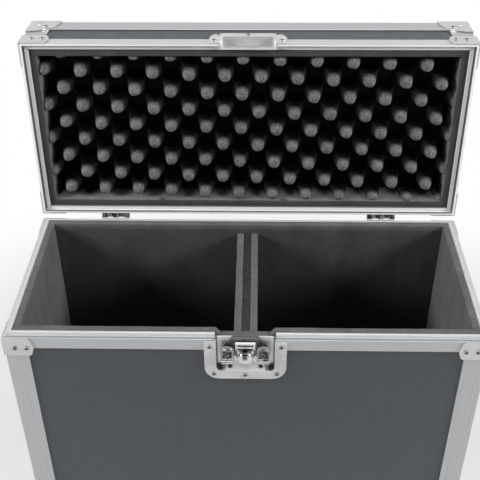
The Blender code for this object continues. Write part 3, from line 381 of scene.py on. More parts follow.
def tongued_rail(name, stretch, tongue_painted_light, tongue_high, line):
    """The body's rail: painted light on its tongue, painted shade on its front face, and a
    painted shadow line along the ledge in front of the tongue.
    """
    made = drawn_aluminium(name, stretch, rail_tone, rail_metallic)
    tree = made.node_tree
    shader = tree.nodes["Principled BSDF"]
    place = place_parts(tree)
    z = place["Z"]
    from_front = combined(tree, "SUBTRACT", place["Y"], front_face)
    from_edge = combined(tree, "MINIMUM", from_sides(tree, place), from_front)
    not_rear = mapped(tree, from_front, 0.2560, 0.2550)
    tongue = every(tree, within(tree, z, ledge + 0.0005, ledge + tongue_high), not_rear)
    on_ledge = every(tree, mapped(tree, z, ledge - 0.0003, ledge - 0.0001), not_rear)
    ledge_shadow_line = every(tree, within(tree, from_edge, *line), on_ledge)
    face = every(
        tree,
        mapped(tree, from_front, 0.0006, 0.0002),
        mapped(tree, z, ledge, ledge - 0.0004),
    )
    # Painted shade on the front face, painted light on the tongue, and a painted shadow line on
    # the ledge
    shaded_where(tree, shader, face, (0.525, 0.535, 0.545))
    shaded_where(tree, shader, tongue, tinted(tongue_painted_light, 1, 1.01, 1.02))
    shaded_where(tree, shader, ledge_shadow_line, (0.290, 0.315, 0.335))
    dull_where(tree, shader, tongue, rail_metallic)
    return made


def painted_shade_plate():
    """A dark plate of painted shade and reflection, lighter and darker in soft patches."""
    made, tree, shader = new_material("painted_shade_plate", grey(0.15), 0.3, 0.45)
    patches = noise_on(tree, 130, 3)
    dark, light = (0.050, 0.052, 0.056), (0.200, 0.200, 0.205)
    coloured(tree, shader, patches, 0.36, 0.64, dark, light)
    relief(tree, shader, patches, 0.15, 0.0006)
    return made


def knob_chrome():
    """Chrome with a painted reflection as a dark band on the barrel's top, a grey foot and a
    dark collar.
    """
    made = chrome("knob_chrome", 0.66)
    tree = made.node_tree
    shader = tree.nodes["Principled BSDF"]
    place = place_parts(tree)
    off_reflection = size_of(tree, combined(tree, "ADD", place["X"], 0.0006))
    painted_reflection = every(
        tree,
        mapped(tree, off_reflection, 0.0042, 0.0020),
        mapped(tree, place["Z"], ledge - 0.0275, ledge - 0.0235),
    )
    foot = mapped(tree, place["Z"], ledge - 0.0305, ledge - 0.0340)
    collar = every(
        tree,
        mapped(tree, place["Y"], front_face + 0.0006, front_face + 0.0010),
        mapped(tree, size_of(tree, place["X"]), 0.0092, 0.0106),
    )
    # Painted reflection: a dark band down the top of the barrel
    shaded_where(tree, shader, painted_reflection, (0.10, 0.105, 0.115))
    shaded_where(tree, shader, foot, (0.36, 0.37, 0.38))
    shaded_where(tree, shader, collar, (0.16, 0.175, 0.195))
    return made


def hinge_plating():
    """Plating with painted shade blotched dark over the knuckles, and painted light on the leaf
    below them.
    """
    made, tree, shader = new_material("hinge_plating", grey(0.2), 0.3, 0.6)
    shade_blotches = noise_on(tree, 150, 2, (1, 0.4, 0.4))
    # Painted shade: dark blotches standing in for the shadow between the knuckles
    coloured(tree, shader, shade_blotches, 0.44, 0.60, (0.035, 0.04, 0.045), (0.34, 0.35, 0.36))
    # Painted light: the leaf below the knuckles is coloured bright
    leaf = mapped(tree, place_parts(tree)["Z"], ledge + 0.0026, ledge + 0.0018)
    shaded_where(tree, shader, leaf, (0.80, 0.82, 0.84))
    relief(tree, shader, shade_blotches, 0.2, 0.0004)
    return made


def pressed_hollow():
    """The plated bottom of a wing's hollow, with painted reflection and shade as dark patches in
    its middle, and painted highlights at its ends.
    """
    made, tree, shader = new_material("pressed_hollow", grey(0.2), 0.25, 0.9)
    patches = noise_on(tree, 260, 3, roughness=0.6)
    # Painted reflection and shade: dark patches over the hollow's bottom
    coloured(tree, shader, patches, 0.45, 0.66, (0.022, 0.022, 0.024), (0.24, 0.23, 0.205))
    z = place_parts(tree)["Z"]
    highlight_ends = either(
        tree,
        mapped(tree, z, ledge - 0.0160, ledge - 0.0138),
        mapped(tree, z, ledge - 0.0284, ledge - 0.0302),
    )
    # Painted highlights at the hollow's ends
    bright = every(tree, highlight_ends, mapped(tree, patches, 0.38, 0.48))
    shaded_where(tree, shader, bright, (0.74, 0.72, 0.66))
    relief(tree, shader, patches, 0.4, 0.0008)
    return made


def foam(name, dark, light, scale, contrast=0.2, depth=None, deepest_shade=None, reach=None):
    """Matt open-celled foam. depth names an attribute by which painted shade darkens it towards
    deepest_shade.
    """
    made, tree, shader = new_material(name, light, 0.95)
    shader.inputs["Specular IOR Level"].default_value = 0.15
    cells = noise_on(tree, scale, 3, roughness=0.7)
    patches = noise_on(tree, 28, 4, (1, 1, 0.35), 0.65)
    colour = multiplied(
        tree,
        ramp(tree, cells, 0.5 - contrast, 0.5 + contrast, dark, light),
        ramp(tree, patches, 0.35, 0.65, grey(0.74), grey(1.0)),
    )
    # Painted shade: darker where the named attribute is higher
    if depth:
        known = tree.nodes.new("ShaderNodeAttribute")
        known.attribute_name = depth
        shade = ramp(tree, known.outputs["Fac"], *reach, grey(1.0), deepest_shade)
        colour = multiplied(tree, colour, shade)
    tree.links.new(colour, shader.inputs["Base Color"])
    relief(tree, shader, cells, 0.6, 0.0005)
    return made


def moulded_rubber():
    made, tree, shader = new_material("moulded_rubber", grey(0.02), 0.7)
    dust = noise_on(tree, 300, 4)
    coloured(tree, shader, dust, 0.3, 0.75, grey(0.016), grey(0.030))
    roughened(tree, shader, dust, 0.6, 0.8)
    relief(tree, shader, dust, 0.2, 0.0002)
    return made


def board_edge():
    made, tree, shader = new_material("divider_board_edge", grey(0.05), 0.6)
    plies = noise_on(tree, 260, 3, (3, 1, 1), 0.7)
    coloured(tree, shader, plies, 0.46, 0.62, (0.006, 0.006, 0.008), (0.056, 0.057, 0.061))
    relief(tree, shader, plies, 0.3, 0.0003)
    return made


along_x, along_y, along_z = (0.15, 30, 30), (30, 0.15, 30), (30, 30, 0.15)
laminate_finish = laminate()
aluminium_x = drawn_aluminium("drawn_aluminium_along_x", along_x)
aluminium_z = drawn_aluminium("drawn_aluminium_along_z", along_z)
# The tongues' painted light and the ledge's painted shadow line are set apart for the rails
# along X and along Y
rail_x = tongued_rail("edge_rail_along_x", along_x, 0.90, 0.0040, (0.0009, 0.0043))
rail_y = tongued_rail("edge_rail_along_y", along_y, 0.62, 0.0060, (0.0050, 0.0063))
lid_rail_finish = grooved_rail()
hinge_finish = hinge_plating()
steel_finish = plated_steel("plated_steel", 0.60, 0.28, 0.75)
tray_finish = tray_plating_painted_light_and_shade()
keeper_finish = plated_steel("keeper_plating", 0.66, 0.24, 0.50)
apron_finish = plated_steel("apron_plating", 0.90, 0.28, 0.10)
rivet_finish = plated_steel("rivet_heads", 0.30, 0.22, 0.95)
# Painted shade: near-black plating for the rivets' bores and the hook's slots
painted_shade_finish = plated_steel("rivet_bores_painted_shade", 0.035, 0.5, 0.3)
chrome_finish = chrome("latch_chrome", 0.66)
wing_finish = plated_steel("wing_plating", 0.30, 0.20, 0.80)
bar_finish = plated_steel("hook_plating", 0.86, 0.2, 0.2)
knob_finish = knob_chrome()
cover_finish = painted_shade_plate()
hollow_finish = pressed_hollow()
rubber_finish = moulded_rubber()
board_finish = board_edge()

charcoal = (0.114, 0.114, 0.111), (0.200, 0.199, 0.194)
lid_charcoal = (0.150, 0.149, 0.145), (0.235, 0.233, 0.227)
crate_charcoal = (0.088, 0.087, 0.085), (0.268, 0.265, 0.259)
foam_finish = foam("charcoal_foam", *charcoal, 900)
# Painted shade: the lid strips' faces at the rim are darkened, by the rim_face attribute
lid_wall_finish = foam(
    "charcoal_lid_foam",
    *lid_charcoal,
    900,
    depth="rim_face",
    deepest_shade=grey(0.43),
    reach=(0.3, 0.7),
)
# Painted shade: the wall foam is darkened further below its top edge, by the deep attribute
wall_foam_finish = foam(
    "charcoal_wall_foam",
    *charcoal,
    900,
    depth="deep",
    deepest_shade=(0.19, 0.22, 0.235),
    reach=(0.0, 1.0),
)
# Painted shade: the egg-crate foam darkens in its hollows, by the hollow attribute
egg_foam_finish = foam(
    "egg_crate_foam",
    *crate_charcoal,
    460,
    contrast=0.13,
    depth="hollow",
    deepest_shade=grey(0.09),
    reach=(0.07, 0.33),
)


def finish_of(node):
    if node.startswith("rubber_foot"):
        return rubber_finish
    if node == "lid_egg_crate_foam":
        return egg_foam_finish
    if "foam" in node:
        return foam_finish
    if node == "divider_board":
        return board_finish
    if node.endswith("_panel") or node == "lid_side_boards":
        return laminate_finish
    if "corner_angle" in node:
        return aluminium_z
    if node.startswith("lid_rim_") and "brace" not in node:
        return lid_rail_finish
    if "_rim_" in node and "brace" not in node:
        sides = node in ("body_rim_left", "body_rim_right")
        return rail_y if sides else rail_x
    if node.endswith("_frame"):
        return aluminium_x
    if node.startswith("hinge_"):
        return hinge_finish
    if node == "latch_keeper_dish":
        return keeper_finish
    if node.startswith("latch_"):
        return tray_finish
    return steel_finish


for node, piece in frame["nodes"].items():
    piece.data.materials.clear()
    piece.data.materials.append(finish_of(node))


# Foam, in place of the plain solids
foam_thickness = 0.0092
seam = 0.0003
soft_angle = 40


def named_piece(name, shape, look, smooth=soft_angle):
    mesh = bpy.data.meshes.new(name)
    shape.to_mesh(mesh)
    shape.free()
    piece = bpy.data.objects.new(name, mesh)
    bpy.context.scene.collection.objects.link(piece)
    mesh.materials.append(look)
    mesh.shade_smooth()
    mesh.set_sharp_from_angle(angle=math.radians(smooth))
    return piece


def clamped(value):
    return min(max(value, 0), 1)


def eased(value):
    """0 to 1 with a soft start and a soft end."""
    return value * value * (3 - 2 * value)


def ripple(point, size, amount):
    """A small slow displacement that differs from place to place."""
    return noise.noise_vector(Vector(point) / size) * amount


def foam_board(low, high, rounding=0.0011, cell=0.012, sway=0.0004, lowered=None, hard=()):
    """A sheet of foam with softened edges and faces that aren't quite flat.

    lowered says how far a point is let down, and hard names extra places along X where
    the sheet is divided.
    """
    low, high = Vector(low), Vector(high)
    middle = (low + high) / 2
    shape = bmesh.new()
    block = Matrix.Translation(middle) @ Matrix.Diagonal((*(high - low), 1))
    bmesh.ops.create_cube(shape, size=1, matrix=block)
    bmesh.ops.bevel(
        shape,
        geom=shape.edges[:],
        offset=rounding,
        segments=3,
        affect="EDGES",
        profile=0.5,
        clamp_overlap=True,
    )
    for axis in range(3):
        length = high[axis] - low[axis]
        steps = int(length / cell)
        places = [low[axis] + length * k / steps for k in range(1, steps)]
        if axis == 0:
            places += hard
        for place in places:
            direction = Vector((0, 0, 0))
            direction[axis] = 1
            centre = middle.copy()
            centre[axis] = place
            whole = shape.verts[:] + shape.edges[:] + shape.faces[:]
            bmesh.ops.bisect_plane(
                shape, geom=whole, dist=1e-6, plane_co=centre, plane_no=direction
            )
    for vert in shape.verts:
        if lowered:
            vert.co.z -= lowered(vert.co, high.z)
        vert.co += ripple(vert.co, 0.035, sway)
    bmesh.ops.recalc_face_normals(shape, faces=shape.faces)
    return shape


def deepened(shape, top):
    """The sheet marked with how far each point lies below its top edge, for painted shade that
    darkens the foam further down.
    """
    rim, darkest_at, first_shade = 0.0016, 0.170, 0.50
    deep = shape.verts.layers.float.new("deep")
    for vert in shape.verts:
        below = top - vert.co.z
        further = (1 - first_shade) * min(below / darkest_at, 1)
        vert[deep] = first_shade + further if below > rim else 0
    return shape


def settle(piece, body, *nodes):
    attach(piece, body)
    if nodes:
        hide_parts(*nodes)


lining_low, lining_high = (Vector(v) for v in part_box("body_foam_lining"))
near_wall = lining_low.y + foam_thickness
far_wall = lining_high.y - foam_thickness
left_wall = lining_low.x + foam_thickness
right_wall = lining_high.x - foam_thickness
floor_high = lining_low.z + foam_thickness

# The dip in the front sheet behind the latch
dip_half_width = 0.0385
dip_shoulder = 0.0065
dip_depth = 0.0066
dip_fade_end, dip_fade = 0.030, 0.028


def latch_dip(point, top):
    """How far the front sheet is cut down behind the latch, with sloped shoulders."""
    cut = dip_depth * eased(clamped((dip_half_width - abs(point.x)) / dip_shoulder))
    return cut * clamped((point.z - (top - dip_fade_end)) / dip_fade)


shoulder_start = dip_half_width - dip_shoulder
shoulder_step = dip_shoulder / 5
shoulders = [
    side * (shoulder_start + shoulder_step * k) for side in (-1, 1) for k in range(6)
]
front_shape = foam_board(
    lining_low, (lining_high.x, near_wall, lining_high.z), lowered=latch_dip, hard=shoulders
)
front_foam = named_piece("foam_front_sheet", front_shape, foam_finish)
settle(front_foam, "case", "body_foam_lining")
rear_shape = foam_board((lining_low.x, far_wall, lining_low.z), lining_high)
rear_shape = deepened(rear_shape, lining_high.z)
rear_foam = named_piece("foam_rear_sheet", rear_shape, wall_foam_finish)
settle(rear_foam, "case")
for name, x_low, x_high in (
    ("left", lining_low.x, left_wall),
    ("right", right_wall, lining_high.x),
):
    side_shape = foam_board(
        (x_low, near_wall + seam, lining_low.z), (x_high, far_wall - seam, lining_high.z)
    )
    side_foam = named_piece(f"foam_{name}_sheet", side_shape, foam_finish)
    settle(side_foam, "case")
divider_left = tuple(Vector(v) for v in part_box("divider_foam_left"))
divider_right = tuple(Vector(v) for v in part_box("divider_foam_right"))
for name, (low, high) in (("left", divider_left), ("right", divider_right)):
    facing_shape = deepened(foam_board(low, high, rounding=0.0008, sway=0.0003), high.z)
    facing = named_piece(f"divider_{name}_facing", facing_shape, wall_foam_finish)
    settle(facing, "case", f"divider_foam_{name}")
for name, x_low, x_high in (
    ("left", left_wall + seam, divider_left[0].x - seam),
    ("right", divider_right[1].x + seam, right_wall - seam),
):
    floor_shape = foam_board(
        (x_low, near_wall + seam, lining_low.z),
        (x_high, far_wall - seam, floor_high),
        cell=0.020,
    )
    floor_shape = deepened(floor_shape, lining_high.z)
    floor_foam = named_piece(f"foam_{name}_floor", floor_shape, wall_foam_finish)
    settle(floor_foam, "case")

# Lid foam, drawn with the lid shut and then swung open with it
lid_lip = 0.0052
foam_setback = 0.0015
lid_foam_height = 0.0738
rim_face_height = 0.0007
lid_foam_low = ledge + lid_gap + lid_lip + foam_setback
lid_foam_high = lid_foam_low + lid_foam_height
lid_edges = {
    "front": ((lining_low.x, lining_low.y), (lining_high.x, near_wall)),
    "rear": ((lining_low.x, far_wall), (lining_high.x, lining_high.y)),
    "left": ((lining_low.x, near_wall + seam), (left_wall, far_wall - seam)),
    "right": ((right_wall, near_wall + seam), (lining_high.x, far_wall - seam)),
}
for name, (low, high) in lid_edges.items():
    shape = foam_board((*low, lid_foam_low), (*high, lid_foam_high), rounding=0.0009)
    # Marks the rim face for painted shade
    rim_face = shape.verts.layers.float.new("rim_face")
    for vert in shape.verts:
        vert[rim_face] = 1 if vert.co.z < lid_foam_low + rim_face_height else 0
    shape.transform(opened)
    strip = named_piece(f"lid_foam_{name}_strip", shape, lid_wall_finish)
    settle(strip, "lid", *(["lid_wall_foam"] if name == "front" else []))

# Egg-crate sheet: an even lattice of knobs, placed and turned as the photograph shows it
knob_pitch_x, knob_pitch_y = 0.0506, 0.0530
knob_start = Vector((-0.0100, -0.0012))
knob_turn = math.radians(2.1)
knob_relief = 0.040
knob_tips = ledge + lid_gap + 0.0080
knob_foot, knob_climb = 0.35, 0.55
dome_foot, dome_climb, dome_share = 0.8, 0.2, 0.06
crate_columns, crate_rows = 288, 112
edge_round, edge_reach = 0.0015, 0.004


def knob_wave(place):
    """How near a place is to a knob's middle, from 0 in a hollow to 1."""
    stray = ripple((*place, 0), 0.045, 0.0014)
    across = Matrix.Rotation(-knob_turn, 2) @ (place + stray.to_2d() - knob_start)
    turn_x = 2 * math.pi * across.x / knob_pitch_x
    turn_y = 2 * math.pi * across.y / knob_pitch_y
    return (1 + math.cos(turn_x) * math.cos(turn_y)) / 2


def egg_crate():
    """The sheet of knobs and hollows, each knob a little different from the next."""
    half_x, half_y = right_wall - seam, (far_wall - near_wall) / 2 - seam
    shape = bmesh.new()
    bmesh.ops.create_grid(shape, x_segments=crate_columns, y_segments=crate_rows, size=1)
    # Marks the hollows for painted shade
    hollow = shape.verts.layers.float.new("hollow")
    for vert in shape.verts:
        place = Vector((vert.co.x * half_x, vert.co.y * half_y))
        wave = knob_wave(place)
        rise = eased(clamped((wave - knob_foot) / knob_climb))
        dome = dome_share * max((wave - dome_foot) / dome_climb, 0)
        lumps = 0.0016 * noise.noise(Vector((*place, 0.4)) / 0.022)
        pits = 0.0010 * noise.noise(Vector((*place, 2)) / 0.006)
        height = knob_relief * (0.95 * rise + dome) + (lumps + pits) * rise
        from_edge = min(half_x - abs(place.x), half_y - abs(place.y))
        rounded = edge_round * (1 - min(from_edge / edge_reach, 1))
        depth = knob_tips + knob_relief - height + rounded
        vert.co = Vector((place.x, place.y + case_y, depth))
        vert[hollow] = 1 - rise
    rim = [edge for edge in shape.edges if edge.is_boundary]
    raised = bmesh.ops.extrude_edge_only(shape, edges=rim)["geom"]
    for vert in raised:
        if isinstance(vert, bmesh.types.BMVert):
            vert.co.z = lid_foam_high
    back = [edge for edge in raised if isinstance(edge, bmesh.types.BMEdge)]
    bmesh.ops.contextual_create(shape, geom=back)
    bmesh.ops.recalc_face_normals(shape, faces=shape.faces)
    shape.transform(opened)
    return shape


egg_sheet = named_piece("egg_crate_sheet", egg_crate(), egg_foam_finish, 60)
settle(egg_sheet, "lid", "lid_egg_crate_foam")


# Hand tools for the metal pieces
def clear_selection():
    bpy.ops.object.select_all(action="DESELECT")


def flatten():
    bpy.ops.object.transform_apply(location=True, rotation=True, scale=True)
    return bpy.context.active_object


def edit(select="SELECT"):
    bpy.ops.object.mode_set(mode="EDIT")
    bpy.ops.mesh.select_all(action=select)


def edit_by(kind):
    bpy.ops.object.mode_set(mode="EDIT")
    bpy.ops.mesh.select_mode(type=kind)


def leave():
    bpy.ops.object.mode_set(mode="OBJECT")


def smoothed(piece, angle=35):
    piece.data.shade_smooth()
    piece.data.set_sharp_from_angle(angle=math.radians(angle))


def softened(piece, width, sharpest=None):
    """The piece's edges rounded, from the usual angle on or from a given one."""
    bevel = piece.modifiers.new("softened_edge", "BEVEL")
    bevel.width = width
    bevel.segments = 3
    if sharpest:
        bevel.limit_method = "ANGLE"
        bevel.angle_limit = math.radians(sharpest)
    clear_selection()
    piece.select_set(True)
    bpy.context.view_layer.objects.active = piece
    bpy.ops.object.modifier_apply(modifier=bevel.name)


def joined(name, pieces):
    clear_selection()
    for piece in pieces:
        piece.select_set(True)
    bpy.context.view_layer.objects.active = pieces[0]
    bpy.ops.object.join()
    pieces[0].name = name
    return pieces[0]


def copy_at(model, place):
    copy = model.copy()
    copy.data = model.data.copy()
    copy.data.transform(place)
    bpy.context.scene.collection.objects.link(copy)
    return copy


def rivet_head(name, radius, height, bore):
    """A domed head with a bored middle, standing on the origin and facing up."""
    bore_depth, dome = height * 0.7, height * 0.6
    top, outer = height * 0.9, radius * 0.9
    clear_selection()
    bpy.ops.mesh.primitive_cylinder_add(
        vertices=16, radius=radius, depth=height, location=(0, 0, height / 2)
    )
    head = flatten()
    head.name = name
    head.data.materials.append(rivet_finish)
    head.data.materials.append(painted_shade_finish)
    edit("DESELECT")
    leave()
    for face in head.data.polygons:
        face.select = face.normal.z > 0.9
    edit_by("FACE")
    bpy.ops.mesh.inset(thickness=radius - bore)
    bpy.ops.mesh.extrude_region_move(TRANSFORM_OT_translate={"value": (0, 0, -bore_depth)})
    head.active_material_index = 1
    bpy.ops.object.material_slot_assign()
    leave()
    corners = head.data.vertices
    on_rim = [v.co.z > top and v.co.xy.length > outer for v in corners]
    for part in (*corners, *head.data.polygons):
        part.select = False
    for edge in head.data.edges:
        edge.select = all(on_rim[v] for v in edge.vertices)
    edit_by("EDGE")
    bpy.ops.mesh.bevel(offset=dome, segments=2, affect="EDGES")
    bpy.ops.mesh.select_mode(type="VERT")
    leave()
    smoothed(head, 50)
    return head


rivet = rivet_head("rivet", 0.0032, 0.0013, 0.0016)
screw = rivet_head("screw", 0.0034, 0.0010, 0.0013)

aim = 0.05
side_y = {"front": -1, "rear": 1}
side_x = {"left": -1, "right": 1}


def seat(node, start, inward, swing=None):
    """Where a fastener lands on a piece: its place, standing on the surface."""
    start, inward = Vector(start), Vector(inward)
    if swing:
        start, inward = swing @ start, swing.to_3x3() @ inward
    found, place, normal, face = frame["nodes"][node].ray_cast(start, inward)
    if not found:
        raise ValueError(f"no surface under a fastener on {node}")
    return Matrix.Translation(place) @ (-inward).to_track_quat("Z", "Y").to_matrix().to_4x4()


# Corners: four rivets in each rim brace, three in each ball corner
brace_rivets = (0.0143, 0.0292)
brace_rise = 0.0167
ball_rivet = 0.0235
case_seats, lid_seats = [], []
for end, sy in side_y.items():
    for hand, sx in side_x.items():
        corner_x, corner_y = sx * half_width, case_y + sy * half_depth
        for inset in brace_rivets:
            for part, height, swing, seats in (
                ("body", ledge - brace_rise, None, case_seats),
                ("lid", lid_base + brace_rise, opened, lid_seats),
            ):
                node = f"{part}_rim_brace_{end}_{hand}"
                for start, inward in (
                    ((corner_x - sx * inset, corner_y + sy * aim, height), (0, -sy, 0)),
                    ((corner_x + sx * aim, corner_y - sy * inset, height), (-sx, 0, 0)),
                ):
                    seats.append(seat(node, start, inward, swing))
        for part, up, end_z, swing, seats in (
            ("body", 1, base_z, None, case_seats),
            ("lid", -1, lid_top, opened, lid_seats),
        ):
            node = f"{part}_ball_corner_{end}_{hand}"
            x, y = corner_x - sx * ball_rivet, corner_y - sy * ball_rivet
            z = end_z + up * ball_rivet
            for start, inward in (
                ((x, corner_y + sy * aim, z), (0, -sy, 0)),
                ((corner_x + sx * aim, y, z), (-sx, 0, 0)),
                ((x, y, end_z - up * aim), (0, 0, up)),
            ):
                seats.append(seat(node, start, inward, swing))

# Latch: five rivets in each flange, one on each ear of the carrier
dish_rivets = (
    (-0.0459, -0.0112),
    (0.0459, -0.0112),
    (-0.0411, -0.0585),
    (0.0411, -0.0585),
    (0, -0.0604),
)
keeper_rivets = (
    (-0.0459, 0.0112),
    (0.0459, 0.0112),
    (-0.0411, 0.0335),
    (0.0411, 0.0335),
    (0, 0.0335),
)
ear_x, ear_depth, ear_drop, ear_lean = 0.0200, 0.0024, 0.0482, 62
for x, rise in dish_rivets:
    case_seats.append(seat("latch_dish", (x, front_face - aim, ledge + rise), (0, 1, 0)))
for x in (-ear_x, ear_x):
    case_seats.append(
        Matrix.Translation((x, front_face + ear_depth, ledge - ear_drop))
        @ Matrix.Rotation(math.radians(ear_lean), 4, "X")
    )
for x, rise in keeper_rivets:
    start = (x, front_face - aim, lid_base + rise)
    lid_seats.append(seat("latch_keeper_dish", start, (0, 1, 0), opened))

# Handle plates: a rivet at each corner
plate_inset_y, plate_inset_z = 0.0060, 0.0075
for hand, sx in side_x.items():
    plate_low, plate_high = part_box(f"handle_{hand}_plate")
    for y in (plate_low.y + plate_inset_y, plate_high.y - plate_inset_y):
        for z in (plate_low.z + plate_inset_z, plate_high.z - plate_inset_z):
            start = (sx * (half_width + aim), y, z)
            case_seats.append(seat(f"handle_{hand}_plate", start, (-sx, 0, 0)))

rivet_sets = {
    "case": [copy_at(rivet, place) for place in case_seats],
    "lid": [copy_at(rivet, place) for place in lid_seats],
}

# Hinge leaves: three countersunk screws in each, the lid's seen from behind
for hand in side_x:
    for part, body, rise, swing in (
        ("body", "case", -0.0125, None),
        ("lid", "lid", 0.0215, opened),
    ):
        node = f"hinge_{hand}_{part}_leaf"
        leaf_low, leaf_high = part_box(node)
        middle_x = (leaf_low.x + leaf_high.x) / 2
        for offset in (-0.0135, 0, 0.0135):
            start = (middle_x + offset, rear_face + aim, ledge + rise)
            place = seat(node, start, (0, -1, 0), swing)
            rivet_sets[body].append(copy_at(screw, place))

for body, heads in rivet_sets.items():
    fastened = joined(f"{body}_rivets", heads)
    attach(fastened, body)


# The latch's own pieces, finer than the plain solids
def facing_blank(name, size, place, corner, look):
    """A blank parallel to the front, its face outwards.

    size is its width and height. place is where its middle lies: along X, up from the
    ledge, and out from the case's front. corner is how far its corners are rounded.
    """
    width, height = size
    x, rise, depth = place
    centre = (x, front_face - depth, ledge + rise)
    clear_selection()
    bpy.ops.mesh.primitive_plane_add(
        size=1, location=centre, rotation=(math.radians(90), 0, 0)
    )
    bpy.ops.transform.resize(value=(width, 1, height), center_override=centre)
    blank = flatten()
    blank.name = name
    blank.data.materials.append(look)
    if corner:
        edit()
        bpy.ops.mesh.bevel(offset=corner, segments=5, affect="VERTICES")
        leave()
    return blank


def thickened(blank, thickness, edge):
    """The blank given its thickness towards the case, and a softened front rim."""
    edit()
    bpy.ops.mesh.select_mode(type="EDGE")
    bpy.ops.mesh.region_to_loop()
    bpy.ops.mesh.extrude_edges_move(TRANSFORM_OT_translate={"value": (0, thickness, 0)})
    bpy.ops.mesh.select_all(action="SELECT")
    bpy.ops.mesh.normals_make_consistent(inside=False)
    leave()
    if edge:
        softened(blank, edge, 50)
    smoothed(blank, 40)
    return blank


def pressed_in(blank, margin, sink, look):
    """A hollow pressed into the blank's face, its bottom in its own look."""
    blank.data.materials.append(look)
    edit_by("FACE")
    bpy.ops.mesh.select_all(action="SELECT")
    bpy.ops.mesh.inset(thickness=margin)
    bpy.ops.mesh.extrude_region_move(TRANSFORM_OT_translate={"value": (0, sink, 0)})
    bpy.ops.mesh.inset(thickness=margin * 0.35, depth=0)
    blank.active_material_index = 1
    bpy.ops.object.material_slot_assign()
    leave()


def take_corners(blank, wanted):
    """Edit mode, with the corners selected whose height is wanted."""
    edit("DESELECT")
    leave()
    for vert in blank.data.vertices:
        vert.select = wanted(vert.co.z)
    edit_by("VERT")


def round_bar(radius, length, centre, across, faces, look):
    """A round bar along X, or pointing at the front where across is false."""
    turn = (0, math.radians(90), 0) if across else (math.radians(90), 0, 0)
    clear_selection()
    bpy.ops.mesh.primitive_cylinder_add(
        vertices=faces, radius=radius, depth=length, location=centre, rotation=turn
    )
    bar = flatten()
    bar.data.materials.append(look)
    return bar


# Wings: a pressed leaf each, with an eye above and a rolled foot, on one axle
wing_x = 0.0233
wing_pieces = []
for side in (-1, 1):
    wing = facing_blank(
        f"latch_wing_{side}",
        size=(0.0172, 0.0280),
        place=(side * wing_x, -0.0217, 0.0059),
        corner=0.0066,
        look=wing_finish,
    )
    pressed_in(wing, margin=0.0021, sink=0.0015, look=hollow_finish)
    wing_pieces.append(thickened(wing, thickness=0.0022, edge=0.0008))
    eye_place = Matrix.Translation((side * 0.0222, front_face - 0.0044, ledge - 0.0128))
    eye = copy_at(rivet, eye_place @ Matrix.Rotation(math.radians(90), 4, "X"))
    foot_place = (side * wing_x, front_face - 0.0052, ledge - 0.0345)
    foot = round_bar(0.0021, 0.0150, foot_place, True, 20, chrome_finish)
    smoothed(foot)
    wing_pieces += [eye, foot]
axle_place = (0, front_face - 0.0047, ledge - 0.0335)
axle = round_bar(0.0010, 0.0330, axle_place, True, 12, chrome_finish)
smoothed(axle)
wings = joined("latch_wings", wing_pieces + [axle])

# Knob: a shaft and cam behind, a collar, a neck, and a barrel to grip in front.
# Each has its radius, where its back and front stand out from the face, and its edge.
knob_drop = 0.0255
knob_discs = (
    (0.0046, -0.0052, 0.0022, 0),
    (0.0080, -0.0050, -0.0030, 0.0003),
    (0.0130, -0.0024, -0.0012, 0.0005),
    (0.0056, -0.0016, 0.0040, 0),
    (0.0098, 0.0028, 0.0104, 0.0028),
)
knob_parts = []
for radius, back, front, edge in knob_discs:
    disc_place = (0, front_face - (front + back) / 2, ledge - knob_drop)
    disc = round_bar(radius, front - back, disc_place, False, 48, knob_finish)
    if edge:
        softened(disc, edge)
    smoothed(disc)
    knob_parts.append(disc)
knob = joined("latch_knob", knob_parts)

# Hook plate: a lip rolled forward at the top, a bar below it, a dark plate of painted shadow
# in the slots under both, and a cheek at each side. Each has its size, place, corner,
# thickness, edge and look.
bar_width = 0.0258
slot_size = (0.0200, 0.0120)
cheek_size = (0.0030, 0.0120)
cheek_x, cheek_rise = 0.0113, -0.0115
hook_blanks = (
    ("bar", (bar_width, 0.0032), (0, -0.0062, 0.0024), 0.0007, 0.0032, 0.0005, bar_finish),
    ("bar", (bar_width, 0.0028), (0, -0.0131, 0.0014), 0.0007, 0.0018, 0.0005, bar_finish),
    ("slot_shadow", slot_size, (0, -0.0122, 0.0004), 0.0005, 0.0008, 0.0002, painted_shade_finish),
    ("cheek", cheek_size, (-cheek_x, cheek_rise, 0.0010), 0.0005, 0.0018, 0.0003, bar_finish),
    ("cheek", cheek_size, (cheek_x, cheek_rise, 0.0010), 0.0005, 0.0018, 0.0003, bar_finish),
)
hook_parts = [
    thickened(facing_blank(f"hook_{name}", size, place, corner, look), thickness, edge)
    for name, size, place, corner, thickness, edge, look in hook_blanks
]
hook = joined("latch_hook_plate", hook_parts)

# Apron: the carrier's foot, sloping out to the flange between its two ears
apron_rise, apron_lean = -0.0500, 0.0058
apron = facing_blank("latch_apron", (0.0520, 0.0104), (0, -0.0487, -0.0050), 0, apron_finish)
take_corners(apron, lambda height: height < ledge + apron_rise)
bpy.ops.transform.translate(value=(0, -apron_lean, 0))
leave()
thickened(apron, thickness=0.0004, edge=0)

# Bridge cover: a dark trapezoid of painted shade and reflection, narrower towards its top
cover_rise, cover_taper = -0.0090, 0.64
cover_place = (0, cover_rise, -0.0026)
cover = facing_blank("latch_bridge_cover", (0.0556, 0.0156), cover_place, 0, cover_finish)
take_corners(cover, lambda height: height > ledge + cover_rise)
bpy.ops.transform.resize(
    value=(cover_taper, 1, 1), center_override=(0, front_face, ledge)
)
leave()
thickened(cover, thickness=0.0003, edge=0)

for piece, node in ((wings, "latch_butterfly"), (knob, "latch_hub"), (hook, "latch_hook")):
    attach(piece, node)
    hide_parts(node)
for piece in (cover, apron):
    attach(piece, "case")


